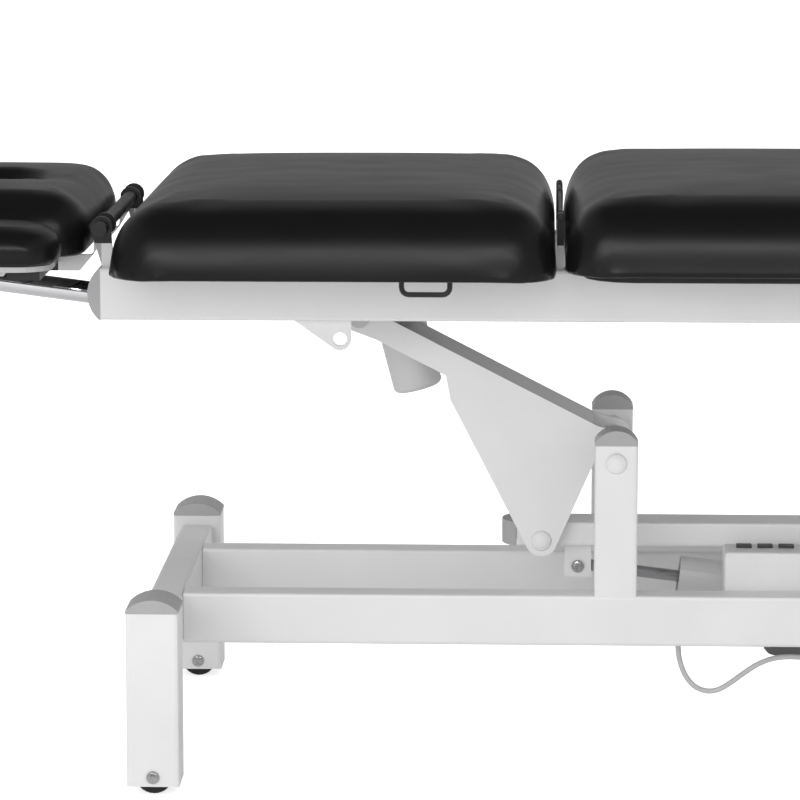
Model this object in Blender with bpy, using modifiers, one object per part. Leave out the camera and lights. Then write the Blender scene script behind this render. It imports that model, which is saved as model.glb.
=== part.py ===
"""Electric massage table: base, two bell-crank lift arms, level top frame, tilting
backrest and headrest, hinged armrests, lift drive, backrest drive and headrest strut.

Metres, +Z up, +X towards the foot end, -Y towards the near side.
"""
from math import atan2, cos, hypot, pi, radians, sin

import bmesh
import bpy
from mathutils import Euler, Matrix, Vector

# General clearances and tube stock
GAP = 0.0003
PIN_GAP = 0.0004
TUBE_WALL = 0.002
WELD = 0.001
WELD_STEP = 0.0002
CORE_REACH = 0.004
TUBE_CORNER = 0.004
CAP_BASE = 0.003
ARC_STEPS = 5

# Base frame
HEAD_LEG_X = -0.4625
FOOT_LEG_X = 0.860
LEG_SIDE = 0.060
LEG_Y = 0.2935
LEG_BOTTOM = 0.011
LEG_TOP = 0.212
LEG_CAP_RISE = 0.0155
BEAM_WIDTH = 0.040
BEAM_BOTTOM = 0.140
BEAM_TOP = 0.200
RAIL_Y = 0.132
MID_CROSS_HEIGHT = 0.030
MID_CROSS_X = 0.640
FOOT_RADIUS = 0.029
WHEEL_RADIUS = 0.022
WHEEL_WIDTH = 0.034
WHEEL_AXLE_RADIUS = 0.005
AXLE_HEAD_RADIUS = 0.009
AXLE_HEAD = 0.004

# Posts and lift arms
POST_X = 0.065
POST_LENGTH_X = 0.050
POST_TOP = 0.379
POST_CAP_RISE = 0.018
ARM_SPACING = 0.660
LIFT_PIVOT_Z = 0.3575
PIVOT_RADIUS = 0.010
PIVOT_CAP_RADIUS = 0.0125
PIVOT_CAP_RISE = 0.006
HUB_RADIUS = 0.0135
ARM_REACH = 0.3044
ARM_RISE = 0.156
ARM_HALF_WIDTH = 0.050
ARM_PLATE = 0.005
ARM_THICK = 0.029
ARM_BOSS = 0.018
ARM_NOSE = 0.030
ARM_TUBE_START = 0.022
ARM_TUBE_STOP = 0.016
ARM_FOOT_BOSS = 0.022
LEVER_BACK = 0.087
LEVER_DROP = 0.1123
LEVER_BOSS = 0.019
LEVER_PIN_RADIUS = 0.008
LEVER_CORNER_REACH = 0.201
LEVER_CORNER_SIDE = -0.038
LEVER_NOTCH = 0.018

# Tie beam and lift drive
TIE_WIDTH = 0.060
TIE_HEIGHT = 0.029
TIE_OFFSET = 0.0043
TIE_OVERHANG = 0.029
TIE_CAP_RISE = 0.018
TIE_LUG_X = 0.022
TIE_LUG_DROP = 0.0272
LUG_PLATE = 0.005
LUG_HALF = 0.016
TIE_LUG_BELOW = 0.013
BOLT_RADIUS = 0.0055
BOLT_HEAD_RADIUS = 0.009
BOLT_HEAD = 0.005
EYE_HALF = 0.010
EYE_RADIUS = 0.014
EYE_SINK = 0.002
NECK_SINK = 0.004
TUBE_PLUG = 0.012
CLEVIS_Z = 0.133
LIFT_ROD_RADIUS = 0.007
LIFT_ROD_LENGTH = 0.330
LIFT_TUBE_RADIUS = 0.025
LIFT_TUBE_BORE = 0.0228
LIFT_TUBE_LENGTH = 0.455
LIFT_TUBE_BACK = 0.045
LIFT_MOTOR_START = 0.238
LIFT_MOTOR_LENGTH = 0.157
LIFT_MOTOR_DEPTH = 0.052
LIFT_MOTOR_HALF = 0.026

# Control box and its cable
BOX_X = 0.194
BOX_LENGTH = 0.200
BOX_DEPTH = 0.056
BOX_BOTTOM = 0.158
BOX_TOP = 0.245
PLUG_WIDTH = 0.018
PLUG_DEPTH = 0.014
PLUG_RISE = 0.0035
PLUG_CORNER = 0.002
PLUG_PITCH = 0.025
PLUG_START = 0.024
PLUG_BACK = 0.004
CABLE_RADIUS = 0.0032
GLAND_RADIUS = 0.009
GLAND_TIP_RADIUS = 0.005
GLAND_LENGTH = 0.020
CABLE_Y = -0.084
CABLE_POINTS = (
    (0.1735, 0.178), (0.1685, 0.178), (0.158, 0.1759), (0.1491, 0.1699), (0.1431, 0.161), (0.141, 0.1505),
    (0.141, 0.1385), (0.1413, 0.126), (0.1428, 0.112), (0.1468, 0.0978), (0.1535, 0.0852), (0.1636, 0.0754),
    (0.1772, 0.071), (0.1912, 0.0735), (0.2052, 0.0822), (0.220, 0.0933), (0.2355, 0.1037), (0.2525, 0.1108),
    (0.270, 0.1134), (0.288, 0.113), (0.3035, 0.1112), (0.317, 0.1099), (0.330, 0.1099), (0.3405, 0.112),
    (0.3494, 0.118), (0.3554, 0.1269), (0.3575, 0.1374),
)

# Top frame
FRAME_HALF = 0.200
FRAME_TUBE = 0.040
FRAME_BOTTOM = 0.530
FRAME_TOP = 0.590
FRAME_HEAD_X = -0.530
FRAME_CAP_RISE = 0.016
CROSS_HEIGHT = 0.040
CROSS_WIDTH = 0.040

# Boards and cushions
BOARD = 0.012
BOARD_INSET = 0.020
CUSHION_HALF = 0.330
CUSHION_DEPTH = 0.098
LEG_RISE = 0.0065
LEG_OVERHANG = 0.025
HINGE_X = -0.002
HINGE_RISE = 0.060
SECTION_GAP = 0.010
BACK_LENGTH = 0.505
LEG_LENGTH = 0.952
CUSHION_CORNER = 0.060
CUSHION_EDGE = 0.048
CUSHION_CROWN = 0.009
CUSHION_TUCK = 0.007
CUSHION_BELLY = 0.014
SLOPE_LENGTH = 0.160
BACK_SLOPE = 0.008
HINGE_ROD_RADIUS = 0.0027
HINGE_EAR_WIDTH = 0.0080
HINGE_EAR_Y = 0.150
HINGE_LUG_Y = 0.178
EAR_PLATE = 0.006
EAR_REACH = 0.080
EAR_DEPTH = 0.012
STRIP = 0.003

# Backrest drive, set to the far side of the lift arm
DRIVE_Y = 0.085
DRIVE_PIVOT_X = -0.255
DRIVE_PIVOT_DROP = 0.0815
CRANK_DROP = 0.075
CRANK_BOSS = 0.010
CRANK_PIN_RADIUS = 0.005
DRIVE_EYE_HALF = 0.007
GEAR_START = 0.026
GEAR_LENGTH = 0.056
GEAR_HALF_HEIGHT = 0.0177
GEAR_HALF_WIDTH = 0.024
MOTOR_RADIUS = 0.030
MOTOR_LENGTH = 0.100
DRIVE_TUBE_RADIUS = 0.0165
DRIVE_TUBE_BORE = 0.0138
DRIVE_TUBE_LENGTH = 0.098
DRIVE_ROD_RADIUS = 0.0070
DRIVE_ROD_LENGTH = 0.122

# Headrest, its strut and armrests
HEAD_HINGE_RISE = 0.045
HEAD_BAR_RADIUS = 0.0085
HEAD_BAR_HALF = 0.205
HEAD_LENGTH = 0.409
HEAD_CLEAR = 0.016
HEAD_HALF = 0.195
HEAD_BOARD_RISE = 0.0103
HEAD_RISE = 0.090
HEAD_CORNER = 0.045
HEAD_EDGE = 0.030
FACE_LENGTH = 0.230
FACE_WIDTH = 0.100
FACE_FLAT = 0.001
FACE_FROM_HINGE = 0.210
HEAD_EAR_Y = 0.140
HEAD_EAR_DEPTH = 0.010
HEAD_EAR_GAP = 0.002
HEAD_EAR_SLOPE = 0.030
HEAD_LUG_BOSS = 0.013
HEAD_LUG_FOOT = 0.014
STRUT_X = -0.546
STRUT_DROP = 0.057
STRUT_TIP_X = -0.885
STRUT_TIP_DROP = 0.0136
STRUT_RADIUS = 0.013
STRUT_BORE = 0.0112
STRUT_LENGTH = 0.183
STRUT_ROD_RADIUS = 0.004
STRUT_ROD_LENGTH = 0.200
STRUT_EYE_HALF = 0.006
STRUT_EYE_RADIUS = 0.009
STRUT_NECK = 0.008
STRUT_EAR_HALF = 0.014
STRUT_PAD_HALF = 0.022
ARMREST_AXIS_X = -0.627
ARMREST_BAR_WIDTH = 0.037
ARMREST_BAR = 0.010
ARMREST_INNER = 0.212
ARMREST_OUTER = 0.330
ARMREST_LENGTH = 0.321
ARMREST_RIGHT_X = -0.566
ARMREST_PLATE = 0.006
ARMREST_RISE = 0.063
ARMREST_CORNER = 0.045
ARMREST_BAR_INSET = 0.020
PLATE_INSET = 0.008
ARMREST_EDGE = 0.024
KNUCKLE_RADIUS = 0.0045
KNUCKLE_LEFT = 0.012
KNUCKLE_RIGHT = 0.022

# Strap loops under the backrest and the accessory lug under the frame
LOOP_X = -0.153
LOOP_WIDTH = 0.054
LOOP_DROP = 0.0145
LOOP_BEND = 0.008
LOOP_WIRE = 0.003
LOOP_INSET = 0.005
ACCESSORY_X = -0.312
ACCESSORY_LENGTH = 0.0566
ACCESSORY_DROP = 0.0232
ACCESSORY_BOSS = 0.013
ACCESSORY_HOLE = 0.008

# Places that follow from the sizes above
ARM_LENGTH = hypot(ARM_REACH, ARM_RISE)
ARM_ANGLE = atan2(ARM_RISE, ARM_REACH)
PIVOT_XS = (POST_X, POST_X + ARM_SPACING)
HANGER_X = POST_X - ARM_REACH
HANGER_Z = LIFT_PIVOT_Z + ARM_RISE
LEVER_X = POST_X - LEVER_BACK
LEVER_Z = LIFT_PIVOT_Z - LEVER_DROP
TIE_Z = LEVER_Z + TIE_OFFSET
TIE_BOTTOM = TIE_Z - TIE_HEIGHT / 2
BOLT_Z = TIE_BOTTOM - TIE_LUG_DROP
CLEVIS_X = MID_CROSS_X
MID_CROSS_BOTTOM = BEAM_TOP - MID_CROSS_HEIGHT
LIFT_ANGLE = atan2(BOLT_Z - CLEVIS_Z, CLEVIS_X - TIE_LUG_X)
BOARD_BOTTOM = FRAME_TOP + GAP
HINGE_Z = FRAME_TOP + HINGE_RISE
DRIVE_PIVOT_Z = FRAME_TOP - DRIVE_PIVOT_DROP
HEAD_HINGE_Z = FRAME_TOP + HEAD_HINGE_RISE
HEAD_BOARD_BOTTOM = FRAME_TOP + HEAD_BOARD_RISE
HEAD_TOP = FRAME_TOP + HEAD_RISE
STRUT_Z = FRAME_TOP - STRUT_DROP
STRUT_TIP_Z = FRAME_TOP - STRUT_TIP_DROP
ARMREST_TOP = FRAME_TOP + ARMREST_RISE
CUSHION_TOP = BOARD_BOTTOM + CUSHION_DEPTH
BACK_END_X = HINGE_X - SECTION_GAP / 2
LEG_START_X = HINGE_X + SECTION_GAP / 2
LEG_END_X = LEG_START_X + LEG_LENGTH
FRAME_FOOT_X = LEG_END_X - LEG_OVERHANG
LOOP_Y = CUSHION_HALF - BOARD_INSET - LOOP_INSET
CRANK_Z = HINGE_Z - CRANK_DROP
DRIVE_ANGLE = atan2(CRANK_Z - DRIVE_PIVOT_Z, HINGE_X - DRIVE_PIVOT_X)
HEAD_END_X = FRAME_HEAD_X - HEAD_CLEAR
HEAD_LEFT_X = HEAD_END_X - HEAD_LENGTH
STRUT_ANGLE = atan2(STRUT_TIP_Z - STRUT_Z, STRUT_X - STRUT_TIP_X)
ARMREST_AXIS_Z = HEAD_BOARD_BOTTOM - GAP
ARMREST_PLATE_BOTTOM = HEAD_BOARD_BOTTOM
ARMREST_PAD_BOTTOM = ARMREST_PLATE_BOTTOM + ARMREST_PLATE + GAP

TURN = {"X": Euler((pi / 2, 0, pi / 2)), "Y": Euler((pi / 2, 0, 0)), "Z": Euler((0, 0, 0))}

for old in list(bpy.data.objects):
    bpy.data.objects.remove(old, do_unlink=True)

parts = bpy.data.collections.new("massage_table")
cutters = bpy.data.collections.new("cutters")
for made in (parts, cutters):
    bpy.context.scene.collection.children.link(made)

bodies = {}


# Small tools

def body(name, x=0.0, y=0.0, z=0.0):
    """An empty on a joint's axis, which the pieces of that body hang from."""
    empty = bpy.data.objects.new(f"{name}_axis", None)
    empty.location = (x, y, z)
    parts.objects.link(empty)
    bodies[name] = empty


def finish(obj, body_name, colour, roughness=0.45, metallic=0.0):
    """Give a piece its own material and hang it from its body."""
    look = bpy.data.materials.new(obj.name)
    look.use_nodes = True
    shader = look.node_tree.nodes["Principled BSDF"]
    shader.inputs["Base Color"].default_value = (*colour, 1.0)
    shader.inputs["Roughness"].default_value = roughness
    shader.inputs["Metallic"].default_value = metallic
    look.diffuse_color = (*colour, 1.0)
    obj.data.materials.clear()
    obj.data.materials.append(look)
    empty = bodies[body_name]
    obj.parent = empty
    obj.matrix_parent_inverse = Matrix.Translation(-Vector(empty.location))
    return obj


def mesh_object(name, bm):
    """A new object from a bmesh of closed solids that face one way."""
    mesh = bpy.data.meshes.new(name)
    if bm.calc_volume(signed=True) < 0:
        bmesh.ops.reverse_faces(bm, faces=bm.faces)
    bm.to_mesh(mesh)
    bm.free()
    obj = bpy.data.objects.new(name, mesh)
    parts.objects.link(obj)
    return obj


def arc(cx, cy, radius, start, end, steps=ARC_STEPS):
    span = end - start
    return [(cx + radius * cos(start + span * i / steps), cy + radius * sin(start + span * i / steps))
            for i in range(steps + 1)]


def circle(cx, cy, radius, steps=20):
    return arc(cx, cy, radius, 0, 2 * pi, steps)[:-1]


def rounded(half_x, half_y, corner, cx=0.0, cy=0.0, steps=3):
    """A rectangle with round corners, counter-clockwise."""
    points = []
    for quarter, (sx, sy) in enumerate(((1, 1), (-1, 1), (-1, -1), (1, -1))):
        points += arc(cx + sx * (half_x - corner), cy + sy * (half_y - corner), corner,
                      quarter * pi / 2, (quarter + 1) * pi / 2, steps)
    return points


def extruded(name, outlines, depth, axis, centre):
    """A mesh made by extruding flat outlines (later ones are holes) along an axis."""
    curve = bpy.data.curves.new(name, "CURVE")
    curve.dimensions = "2D"
    curve.fill_mode = "BOTH"
    curve.extrude = depth / 2
    for outline in outlines:
        spline = curve.splines.new("POLY")
        spline.points.add(len(outline) - 1)
        for point, (x, y) in zip(spline.points, outline):
            point.co = (x, y, 0, 1)
        spline.use_cyclic_u = True
    flat = bpy.data.objects.new(name, curve)
    parts.objects.link(flat)
    flat.matrix_world = Matrix.Translation(centre) @ TURN[axis].to_matrix().to_4x4()
    return as_mesh(flat)


def as_mesh(curve_object):
    """Turn a curve object into a welded mesh in the same place."""
    bpy.context.view_layer.update()
    graph = bpy.context.evaluated_depsgraph_get()
    mesh = bpy.data.meshes.new_from_object(curve_object.evaluated_get(graph))
    place = curve_object.matrix_world.copy()
    name = curve_object.name
    bpy.data.objects.remove(curve_object, do_unlink=True)
    bm = bmesh.new()
    bm.from_mesh(mesh)
    bpy.data.meshes.remove(mesh)
    bmesh.ops.remove_doubles(bm, verts=bm.verts, dist=0.00001)
    bmesh.ops.recalc_face_normals(bm, faces=bm.faces)
    bm.transform(place)
    return mesh_object(name, bm)


def tube_core(axis, centre, length, across, up):
    """The space inside a box tube, a little longer than the tube."""
    inner = rounded(across / 2 - TUBE_WALL, up / 2 - TUBE_WALL, TUBE_CORNER - TUBE_WALL, steps=1)
    return extruded("core", (inner,), length + 2 * CORE_REACH, axis, centre)


def welded_frame(name, tubes, solids=()):
    """One hollow frame: tubes given as (axis, centre, length, across, up) share their insides."""
    bars = []
    for axis, centre, length, across, up in tubes:
        outer = rounded(across / 2, up / 2, TUBE_CORNER, steps=2)
        bars.append(extruded("bar", (outer,), length, axis, centre))
    frame = bars[0]
    frame.name = name
    for bar in bars[1:]:
        boolean(frame, bar, "UNION")
    for solid in solids:
        boolean(frame, solid, "UNION")
    for tube in tubes:
        boolean(frame, tube_core(*tube), "DIFFERENCE")
    return frame


def joined(name, pieces):
    """One solid from pieces that run into each other."""
    first = pieces[0]
    first.name = name
    for piece in pieces[1:]:
        boolean(first, piece, "UNION")
    return first


def boolean(obj, tool, operation):
    """Add a Boolean whose tool stays as a hidden wire object."""
    for link in list(tool.users_collection):
        link.objects.unlink(tool)
    cutters.objects.link(tool)
    tool.hide_render = True
    tool.display_type = "WIRE"
    change = obj.modifiers.new(operation.lower(), "BOOLEAN")
    change.operation = operation
    change.solver = "EXACT"
    change.object = tool
    return obj


def rod(name, start, end, radius, sides=20, end_radius=None):
    """A round bar between two points, which may taper."""
    start, end = Vector(start), Vector(end)
    bm = bmesh.new()
    bmesh.ops.create_cone(bm, cap_ends=True, segments=sides, radius1=radius,
                          radius2=radius if end_radius is None else end_radius, depth=(end - start).length)
    along = (end - start).to_track_quat("Z", "Y").to_matrix().to_4x4()
    bm.transform(Matrix.Translation((start + end) / 2) @ along)
    return mesh_object(name, bm)


def dome(half, rise, steps=10):
    """Flat-bottomed cap outline: a short straight side, then a low arc over the top."""
    crown = rise - CAP_BASE
    radius = (half * half + crown * crown) / (2 * crown)
    spread = atan2(half, radius - crown)
    top = arc(0, rise - radius, radius, pi / 2 - spread, pi / 2 + spread, steps)
    return [(half, 0.0), *top, (-half, 0.0)]


def turned(points, angle):
    return [(x * cos(angle) - y * sin(angle), x * sin(angle) + y * cos(angle)) for x, y in points]


def moved(points, x, y):
    return [(px + x, py + y) for px, py in points]


def headed_pin(name, x, y0, y1, z, radius, head_radius, head, domed=False):
    """A cross pin with a flat or domed head on each end, turned about its own axis."""
    bm = bmesh.new()
    edge = [(head, 0), (head, head_radius), (0, head_radius)]
    if domed:
        edge = [(head * cos(a), head_radius * sin(a)) for a in (i * pi / 6 for i in range(4))]
    profile = [(y0 - out, across) for out, across in edge]
    profile += [(y0, radius), (y1, radius)]
    profile += [(y1 + out, across) for out, across in reversed(edge)]
    chain = [bm.verts.new((across, along, 0)) for along, across in profile]
    edges = [bm.edges.new(pair) for pair in zip(chain, chain[1:])]
    bmesh.ops.spin(bm, geom=chain + edges, axis=(0, 1, 0), cent=(0, 0, 0), angle=2 * pi, steps=14)
    bmesh.ops.remove_doubles(bm, verts=bm.verts, dist=0.00001)
    bmesh.ops.recalc_face_normals(bm, faces=bm.faces)
    bm.transform(Matrix.Translation((x, 0, z)))
    return mesh_object(name, bm)


def plate_pair(name, outlines, half_gap, thickness, centre_y=0.0):
    """Two like plates either side of a centre plane."""
    offset = half_gap + thickness / 2
    return [extruded(f"{name}_{side}", outlines, thickness, "Y", (0, centre_y + side * offset, 0))
            for side in (-1, 1)]


def cushion(name, x0, x1, y0, y1, bottom, top, corner, edge, crown, slope=0.0):
    """Padded block: rings of one round-cornered outline, tucked in below, widest low on the
    side, rolled over and crowned to the middle. Its head end slopes down by slope."""
    cx, cy = (x0 + x1) / 2, (y0 + y1) / 2
    half_x, half_y = (x1 - x0) / 2, (y1 - y0) / 2
    widest = bottom + CUSHION_BELLY
    rings = [(CUSHION_TUCK, bottom), (0.0, widest)]
    for step in range(1, 7):
        turn = step / 6 * pi / 2
        rings.append((edge * (1 - cos(turn)), widest + (top - crown - widest) * sin(turn)))
    bm = bmesh.new()
    loops = []
    for inset, z in rings:
        outline = rounded(half_x - inset, half_y - inset, max(corner - inset, 0.008), cx, cy, 5)
        loops.append([bm.verts.new((x, y, z)) for x, y in outline])
    for share in (0.85, 0.6, 0.3):
        z = top - crown * share ** 3
        loops.append([bm.verts.new((cx + (v.co.x - cx) * share, cy + (v.co.y - cy) * share, z))
                      for v in loops[len(rings) - 1]])
    for vert in bm.verts:
        ahead = max((x0 + SLOPE_LENGTH - vert.co.x) / SLOPE_LENGTH, 0.0)
        vert.co.z -= slope * ahead ** 2 * (vert.co.z - bottom) / (top - bottom)
    for low, high in zip(loops, loops[1:]):
        for i in range(len(low)):
            j = (i + 1) % len(low)
            bm.faces.new((low[i], low[j], high[j], high[i]))
    bm.faces.new(list(reversed(loops[0])))
    bm.faces.new(loops[-1])
    bmesh.ops.recalc_face_normals(bm, faces=bm.faces)
    obj = mesh_object(name, bm)
    obj.data.shade_smooth()
    return obj


# Bodies and their axes

def make_bodies():
    body("base")
    body("wheel_near", HEAD_LEG_X, -LEG_Y, WHEEL_RADIUS)
    body("wheel_far", HEAD_LEG_X, LEG_Y, WHEEL_RADIUS)
    body("lift_arm_head", PIVOT_XS[0], 0, LIFT_PIVOT_Z)
    body("lift_arm_foot", PIVOT_XS[1], 0, LIFT_PIVOT_Z)
    body("tie", LEVER_X, 0, LEVER_Z)
    body("lift_rod", TIE_LUG_X, 0, BOLT_Z)
    body("lift_tube", CLEVIS_X, 0, CLEVIS_Z)
    body("top_frame", HANGER_X, 0, HANGER_Z)
    body("backrest", HINGE_X, 0, HINGE_Z)
    body("drive", DRIVE_PIVOT_X, DRIVE_Y, DRIVE_PIVOT_Z)
    body("drive_rod", HINGE_X, DRIVE_Y, CRANK_Z)
    body("headrest", FRAME_HEAD_X, 0, HEAD_HINGE_Z)
    body("strut", STRUT_X, 0, STRUT_Z)
    body("strut_rod", STRUT_TIP_X, 0, STRUT_TIP_Z)
    body("armrest_near", ARMREST_AXIS_X, -ARMREST_INNER, ARMREST_AXIS_Z)
    body("armrest_far", ARMREST_AXIS_X, ARMREST_INNER, ARMREST_AXIS_Z)


WHITE = (0.80, 0.80, 0.80)
CAP_GREY = (0.40, 0.40, 0.41)
STEEL = (0.55, 0.55, 0.56)
CHROME = (0.80, 0.80, 0.82)
BLACK = (0.02, 0.02, 0.022)
DARK = (0.06, 0.06, 0.065)
MID_GREY = (0.55, 0.55, 0.56)


# Base

def make_base():
    beam_height = BEAM_TOP - BEAM_BOTTOM
    beam_z = (BEAM_TOP + BEAM_BOTTOM) / 2
    cross_length = 2 * (LEG_Y - LEG_SIDE / 2 + WELD)
    leg_mid = (LEG_TOP + LEG_BOTTOM) / 2
    reach = LEG_Y + LEG_SIDE
    for end, x in (("head", HEAD_LEG_X), ("foot", FOOT_LEG_X)):
        tubes = [("Y", (x, 0, beam_z), cross_length, BEAM_WIDTH, beam_height)]
        for side in (-1, 1):
            tubes.append(("Z", (x, side * LEG_Y, leg_mid), LEG_TOP - LEG_BOTTOM, LEG_SIDE, LEG_SIDE))
        frame = welded_frame(f"{end}_end_frame", tubes)
        if end == "head":
            boolean(frame, rod("axle_holes", (x, -reach, WHEEL_RADIUS), (x, reach, WHEEL_RADIUS),
                               WHEEL_AXLE_RADIUS + PIN_GAP), "DIFFERENCE")
        finish(frame, "base", WHITE)
    for name, side in (("near", -1), ("far", 1)):
        make_base_rail(name, side * RAIL_Y, beam_z, beam_height)

    length = 2 * (RAIL_Y - BEAM_WIDTH / 2 - GAP)
    cross = ("Y", (MID_CROSS_X, 0, BEAM_TOP - MID_CROSS_HEIGHT / 2), length, BEAM_WIDTH, MID_CROSS_HEIGHT)
    finish(welded_frame("mid_cross", [cross], clevis_pieces()), "base", WHITE)


def make_base_rail(name, y, beam_z, beam_height):
    """A long rail with both of its posts and their domed caps."""
    start = HEAD_LEG_X + BEAM_WIDTH / 2 + GAP
    end = FOOT_LEG_X - BEAM_WIDTH / 2 - GAP
    tubes = [("X", ((start + end) / 2, y, beam_z), end - start, BEAM_WIDTH, beam_height)]
    post_bottom = BEAM_TOP - WELD
    caps = []
    for x in PIVOT_XS:
        tubes.append(("Z", (x, y, (POST_TOP + post_bottom) / 2), POST_TOP - post_bottom, POST_LENGTH_X,
                      BEAM_WIDTH - 2 * WELD_STEP))
        outline = moved(dome(POST_LENGTH_X / 2 + WELD_STEP, POST_CAP_RISE), x, POST_TOP - WELD)
        caps.append(extruded("cap", (outline,), BEAM_WIDTH, "Y", (0, y, 0)))
    rail = welded_frame(f"base_rail_{name}", tubes, caps)
    for x in PIVOT_XS:
        boolean(rail, rod("pivot_holes", (x, y - BEAM_WIDTH, LIFT_PIVOT_Z), (x, y + BEAM_WIDTH, LIFT_PIVOT_Z),
                          PIVOT_RADIUS + PIN_GAP), "DIFFERENCE")
    finish(rail, "base", WHITE)


def clevis_pieces():
    """Ears under the middle cross tube, with the pin that carries the lift tube."""
    ear_top = MID_CROSS_BOTTOM + WELD
    outline = [(CLEVIS_X - LUG_HALF, ear_top), *arc(CLEVIS_X, CLEVIS_Z, LUG_HALF, pi, 2 * pi, 10),
               (CLEVIS_X + LUG_HALF, ear_top)]
    ears = plate_pair("ear", (outline,), EYE_HALF + GAP, LUG_PLATE)
    reach = EYE_HALF + LUG_PLATE + BOLT_HEAD
    pin = extruded("clevis_pin", (circle(CLEVIS_X, CLEVIS_Z, BOLT_RADIUS, 16),), 2 * reach, "Y", (0, 0, 0))
    return [*ears, pin]


def make_base_fittings():
    for end, leg_x, post_x in zip(("head", "foot"), (HEAD_LEG_X, FOOT_LEG_X), PIVOT_XS):
        for name, side in (("near", -1), ("far", 1)):
            outline = moved(dome(LEG_SIDE / 2, LEG_CAP_RISE), leg_x, LEG_TOP + GAP)
            cap = extruded(f"{end}_leg_cap_{name}", (outline,), LEG_SIDE, "Y", (0, side * LEG_Y, 0))
            finish(cap, "base", CAP_GREY, 0.5)
        reach = RAIL_Y + BEAM_WIDTH / 2 + GAP
        axle = headed_pin(f"{end}_pivot_axle", post_x, -reach, reach, LIFT_PIVOT_Z,
                          PIVOT_RADIUS, PIVOT_CAP_RADIUS, PIVOT_CAP_RISE, True)
        finish(axle, "base", WHITE, 0.4)
    for name, side in (("near", -1), ("far", 1)):
        y = side * LEG_Y
        foot = rod(f"rubber_foot_{name}", (FOOT_LEG_X, y, 0), (FOOT_LEG_X, y, LEG_BOTTOM - GAP), FOOT_RADIUS)
        finish(foot, "base", DARK, 0.8)
        half = LEG_SIDE / 2 + GAP
        axle = headed_pin(f"wheel_axle_{name}", HEAD_LEG_X, y - half, y + half, WHEEL_RADIUS,
                          WHEEL_AXLE_RADIUS, AXLE_HEAD_RADIUS, AXLE_HEAD)
        finish(axle, "base", STEEL, 0.3, 0.9)
        rim = moved(circle(0, 0, WHEEL_RADIUS, 28), HEAD_LEG_X, WHEEL_RADIUS)
        bore = moved(circle(0, 0, WHEEL_AXLE_RADIUS + PIN_GAP, 16), HEAD_LEG_X, WHEEL_RADIUS)
        wheel = extruded(f"wheel_{name}", (rim, bore), WHEEL_WIDTH, "Y", (0, y, 0))
        finish(wheel, f"wheel_{name}", DARK, 0.6)


# Lift arms, tie beam and lift drive

def arm_point(pivot_x, along, across):
    """A point by its distance up the arm and its height above the arm's pivot line."""
    return (pivot_x - along * cos(ARM_ANGLE) + across * sin(ARM_ANGLE),
            LIFT_PIVOT_Z + along * sin(ARM_ANGLE) + across * cos(ARM_ANGLE))


def arm_plate_outline(pivot_x):
    """Bell-crank side plate: foot boss, lever boss, inner corner, head boss, top edge."""
    top = ARM_THICK / 2
    low = -ARM_THICK / 2
    lever_x, lever_z = pivot_x - LEVER_BACK, LIFT_PIVOT_Z - LEVER_DROP
    head_x, head_z = arm_point(pivot_x, ARM_LENGTH, 0)
    uphill = pi - ARM_ANGLE
    outline = [arm_point(pivot_x, ARM_NOSE, top)]
    outline += arc(pivot_x, LIFT_PIVOT_Z, ARM_FOOT_BOSS, uphill - pi / 2, -pi + pi / 9, 10)
    outline += arc(lever_x, lever_z, LEVER_BOSS, -pi / 6, -pi + pi / 8, 8)
    outline.append(arm_point(pivot_x, LEVER_CORNER_REACH, LEVER_CORNER_SIDE))
    outline.append(arm_point(pivot_x, LEVER_CORNER_REACH + LEVER_NOTCH, low))
    outline.append(arm_point(pivot_x, ARM_LENGTH - ARM_NOSE, low))
    outline += arc(head_x, head_z, ARM_BOSS, uphill + pi / 2, uphill - pi / 2, 10)
    outline.append(arm_point(pivot_x, ARM_LENGTH - ARM_NOSE, top))
    return outline


def make_arm(end, pivot_x):
    """Side plates, box tube and hub welded into one bell crank."""
    outline = arm_plate_outline(pivot_x)
    head_x, head_z = arm_point(pivot_x, ARM_LENGTH, 0)
    holes = (circle(pivot_x - LEVER_BACK, LIFT_PIVOT_Z - LEVER_DROP, LEVER_PIN_RADIUS + PIN_GAP, 16),
             circle(head_x, head_z, PIVOT_RADIUS + PIN_GAP))
    plates = plate_pair("plate", (outline, *holes), ARM_HALF_WIDTH - ARM_PLATE, ARM_PLATE)
    inner_half = ARM_HALF_WIDTH - ARM_PLATE + WELD
    start, stop = HUB_RADIUS + ARM_TUBE_START, ARM_LENGTH - ARM_BOSS - ARM_TUBE_STOP
    thick = ARM_THICK / 2 - WELD_STEP
    section = rounded(thick, inner_half, TUBE_CORNER / 2)
    hollow = rounded(thick - TUBE_WALL, inner_half - WELD - TUBE_WALL, TUBE_CORNER / 2)
    tube = extruded("arm_tube", (section, hollow), stop - start, "Z", (0, 0, 0))
    x, z = arm_point(pivot_x, (start + stop) / 2, 0)
    tube.data.transform(Matrix.Translation((x, 0, z)) @ Matrix.Rotation(ARM_ANGLE - pi / 2, 4, "Y"))
    hub_half = RAIL_Y - BEAM_WIDTH / 2 - GAP
    hub = rod("hub", (pivot_x, -hub_half, LIFT_PIVOT_Z), (pivot_x, hub_half, LIFT_PIVOT_Z), HUB_RADIUS)
    arm = joined(f"lift_arm_{end}_frame", [plates[0], tube, hub, plates[1]])
    bore = rod("hub_bore", (pivot_x, -2 * hub_half, LIFT_PIVOT_Z), (pivot_x, 2 * hub_half, LIFT_PIVOT_Z),
               PIVOT_RADIUS + PIN_GAP)
    boolean(arm, bore, "DIFFERENCE")
    finish(arm, f"lift_arm_{end}", WHITE)


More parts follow.
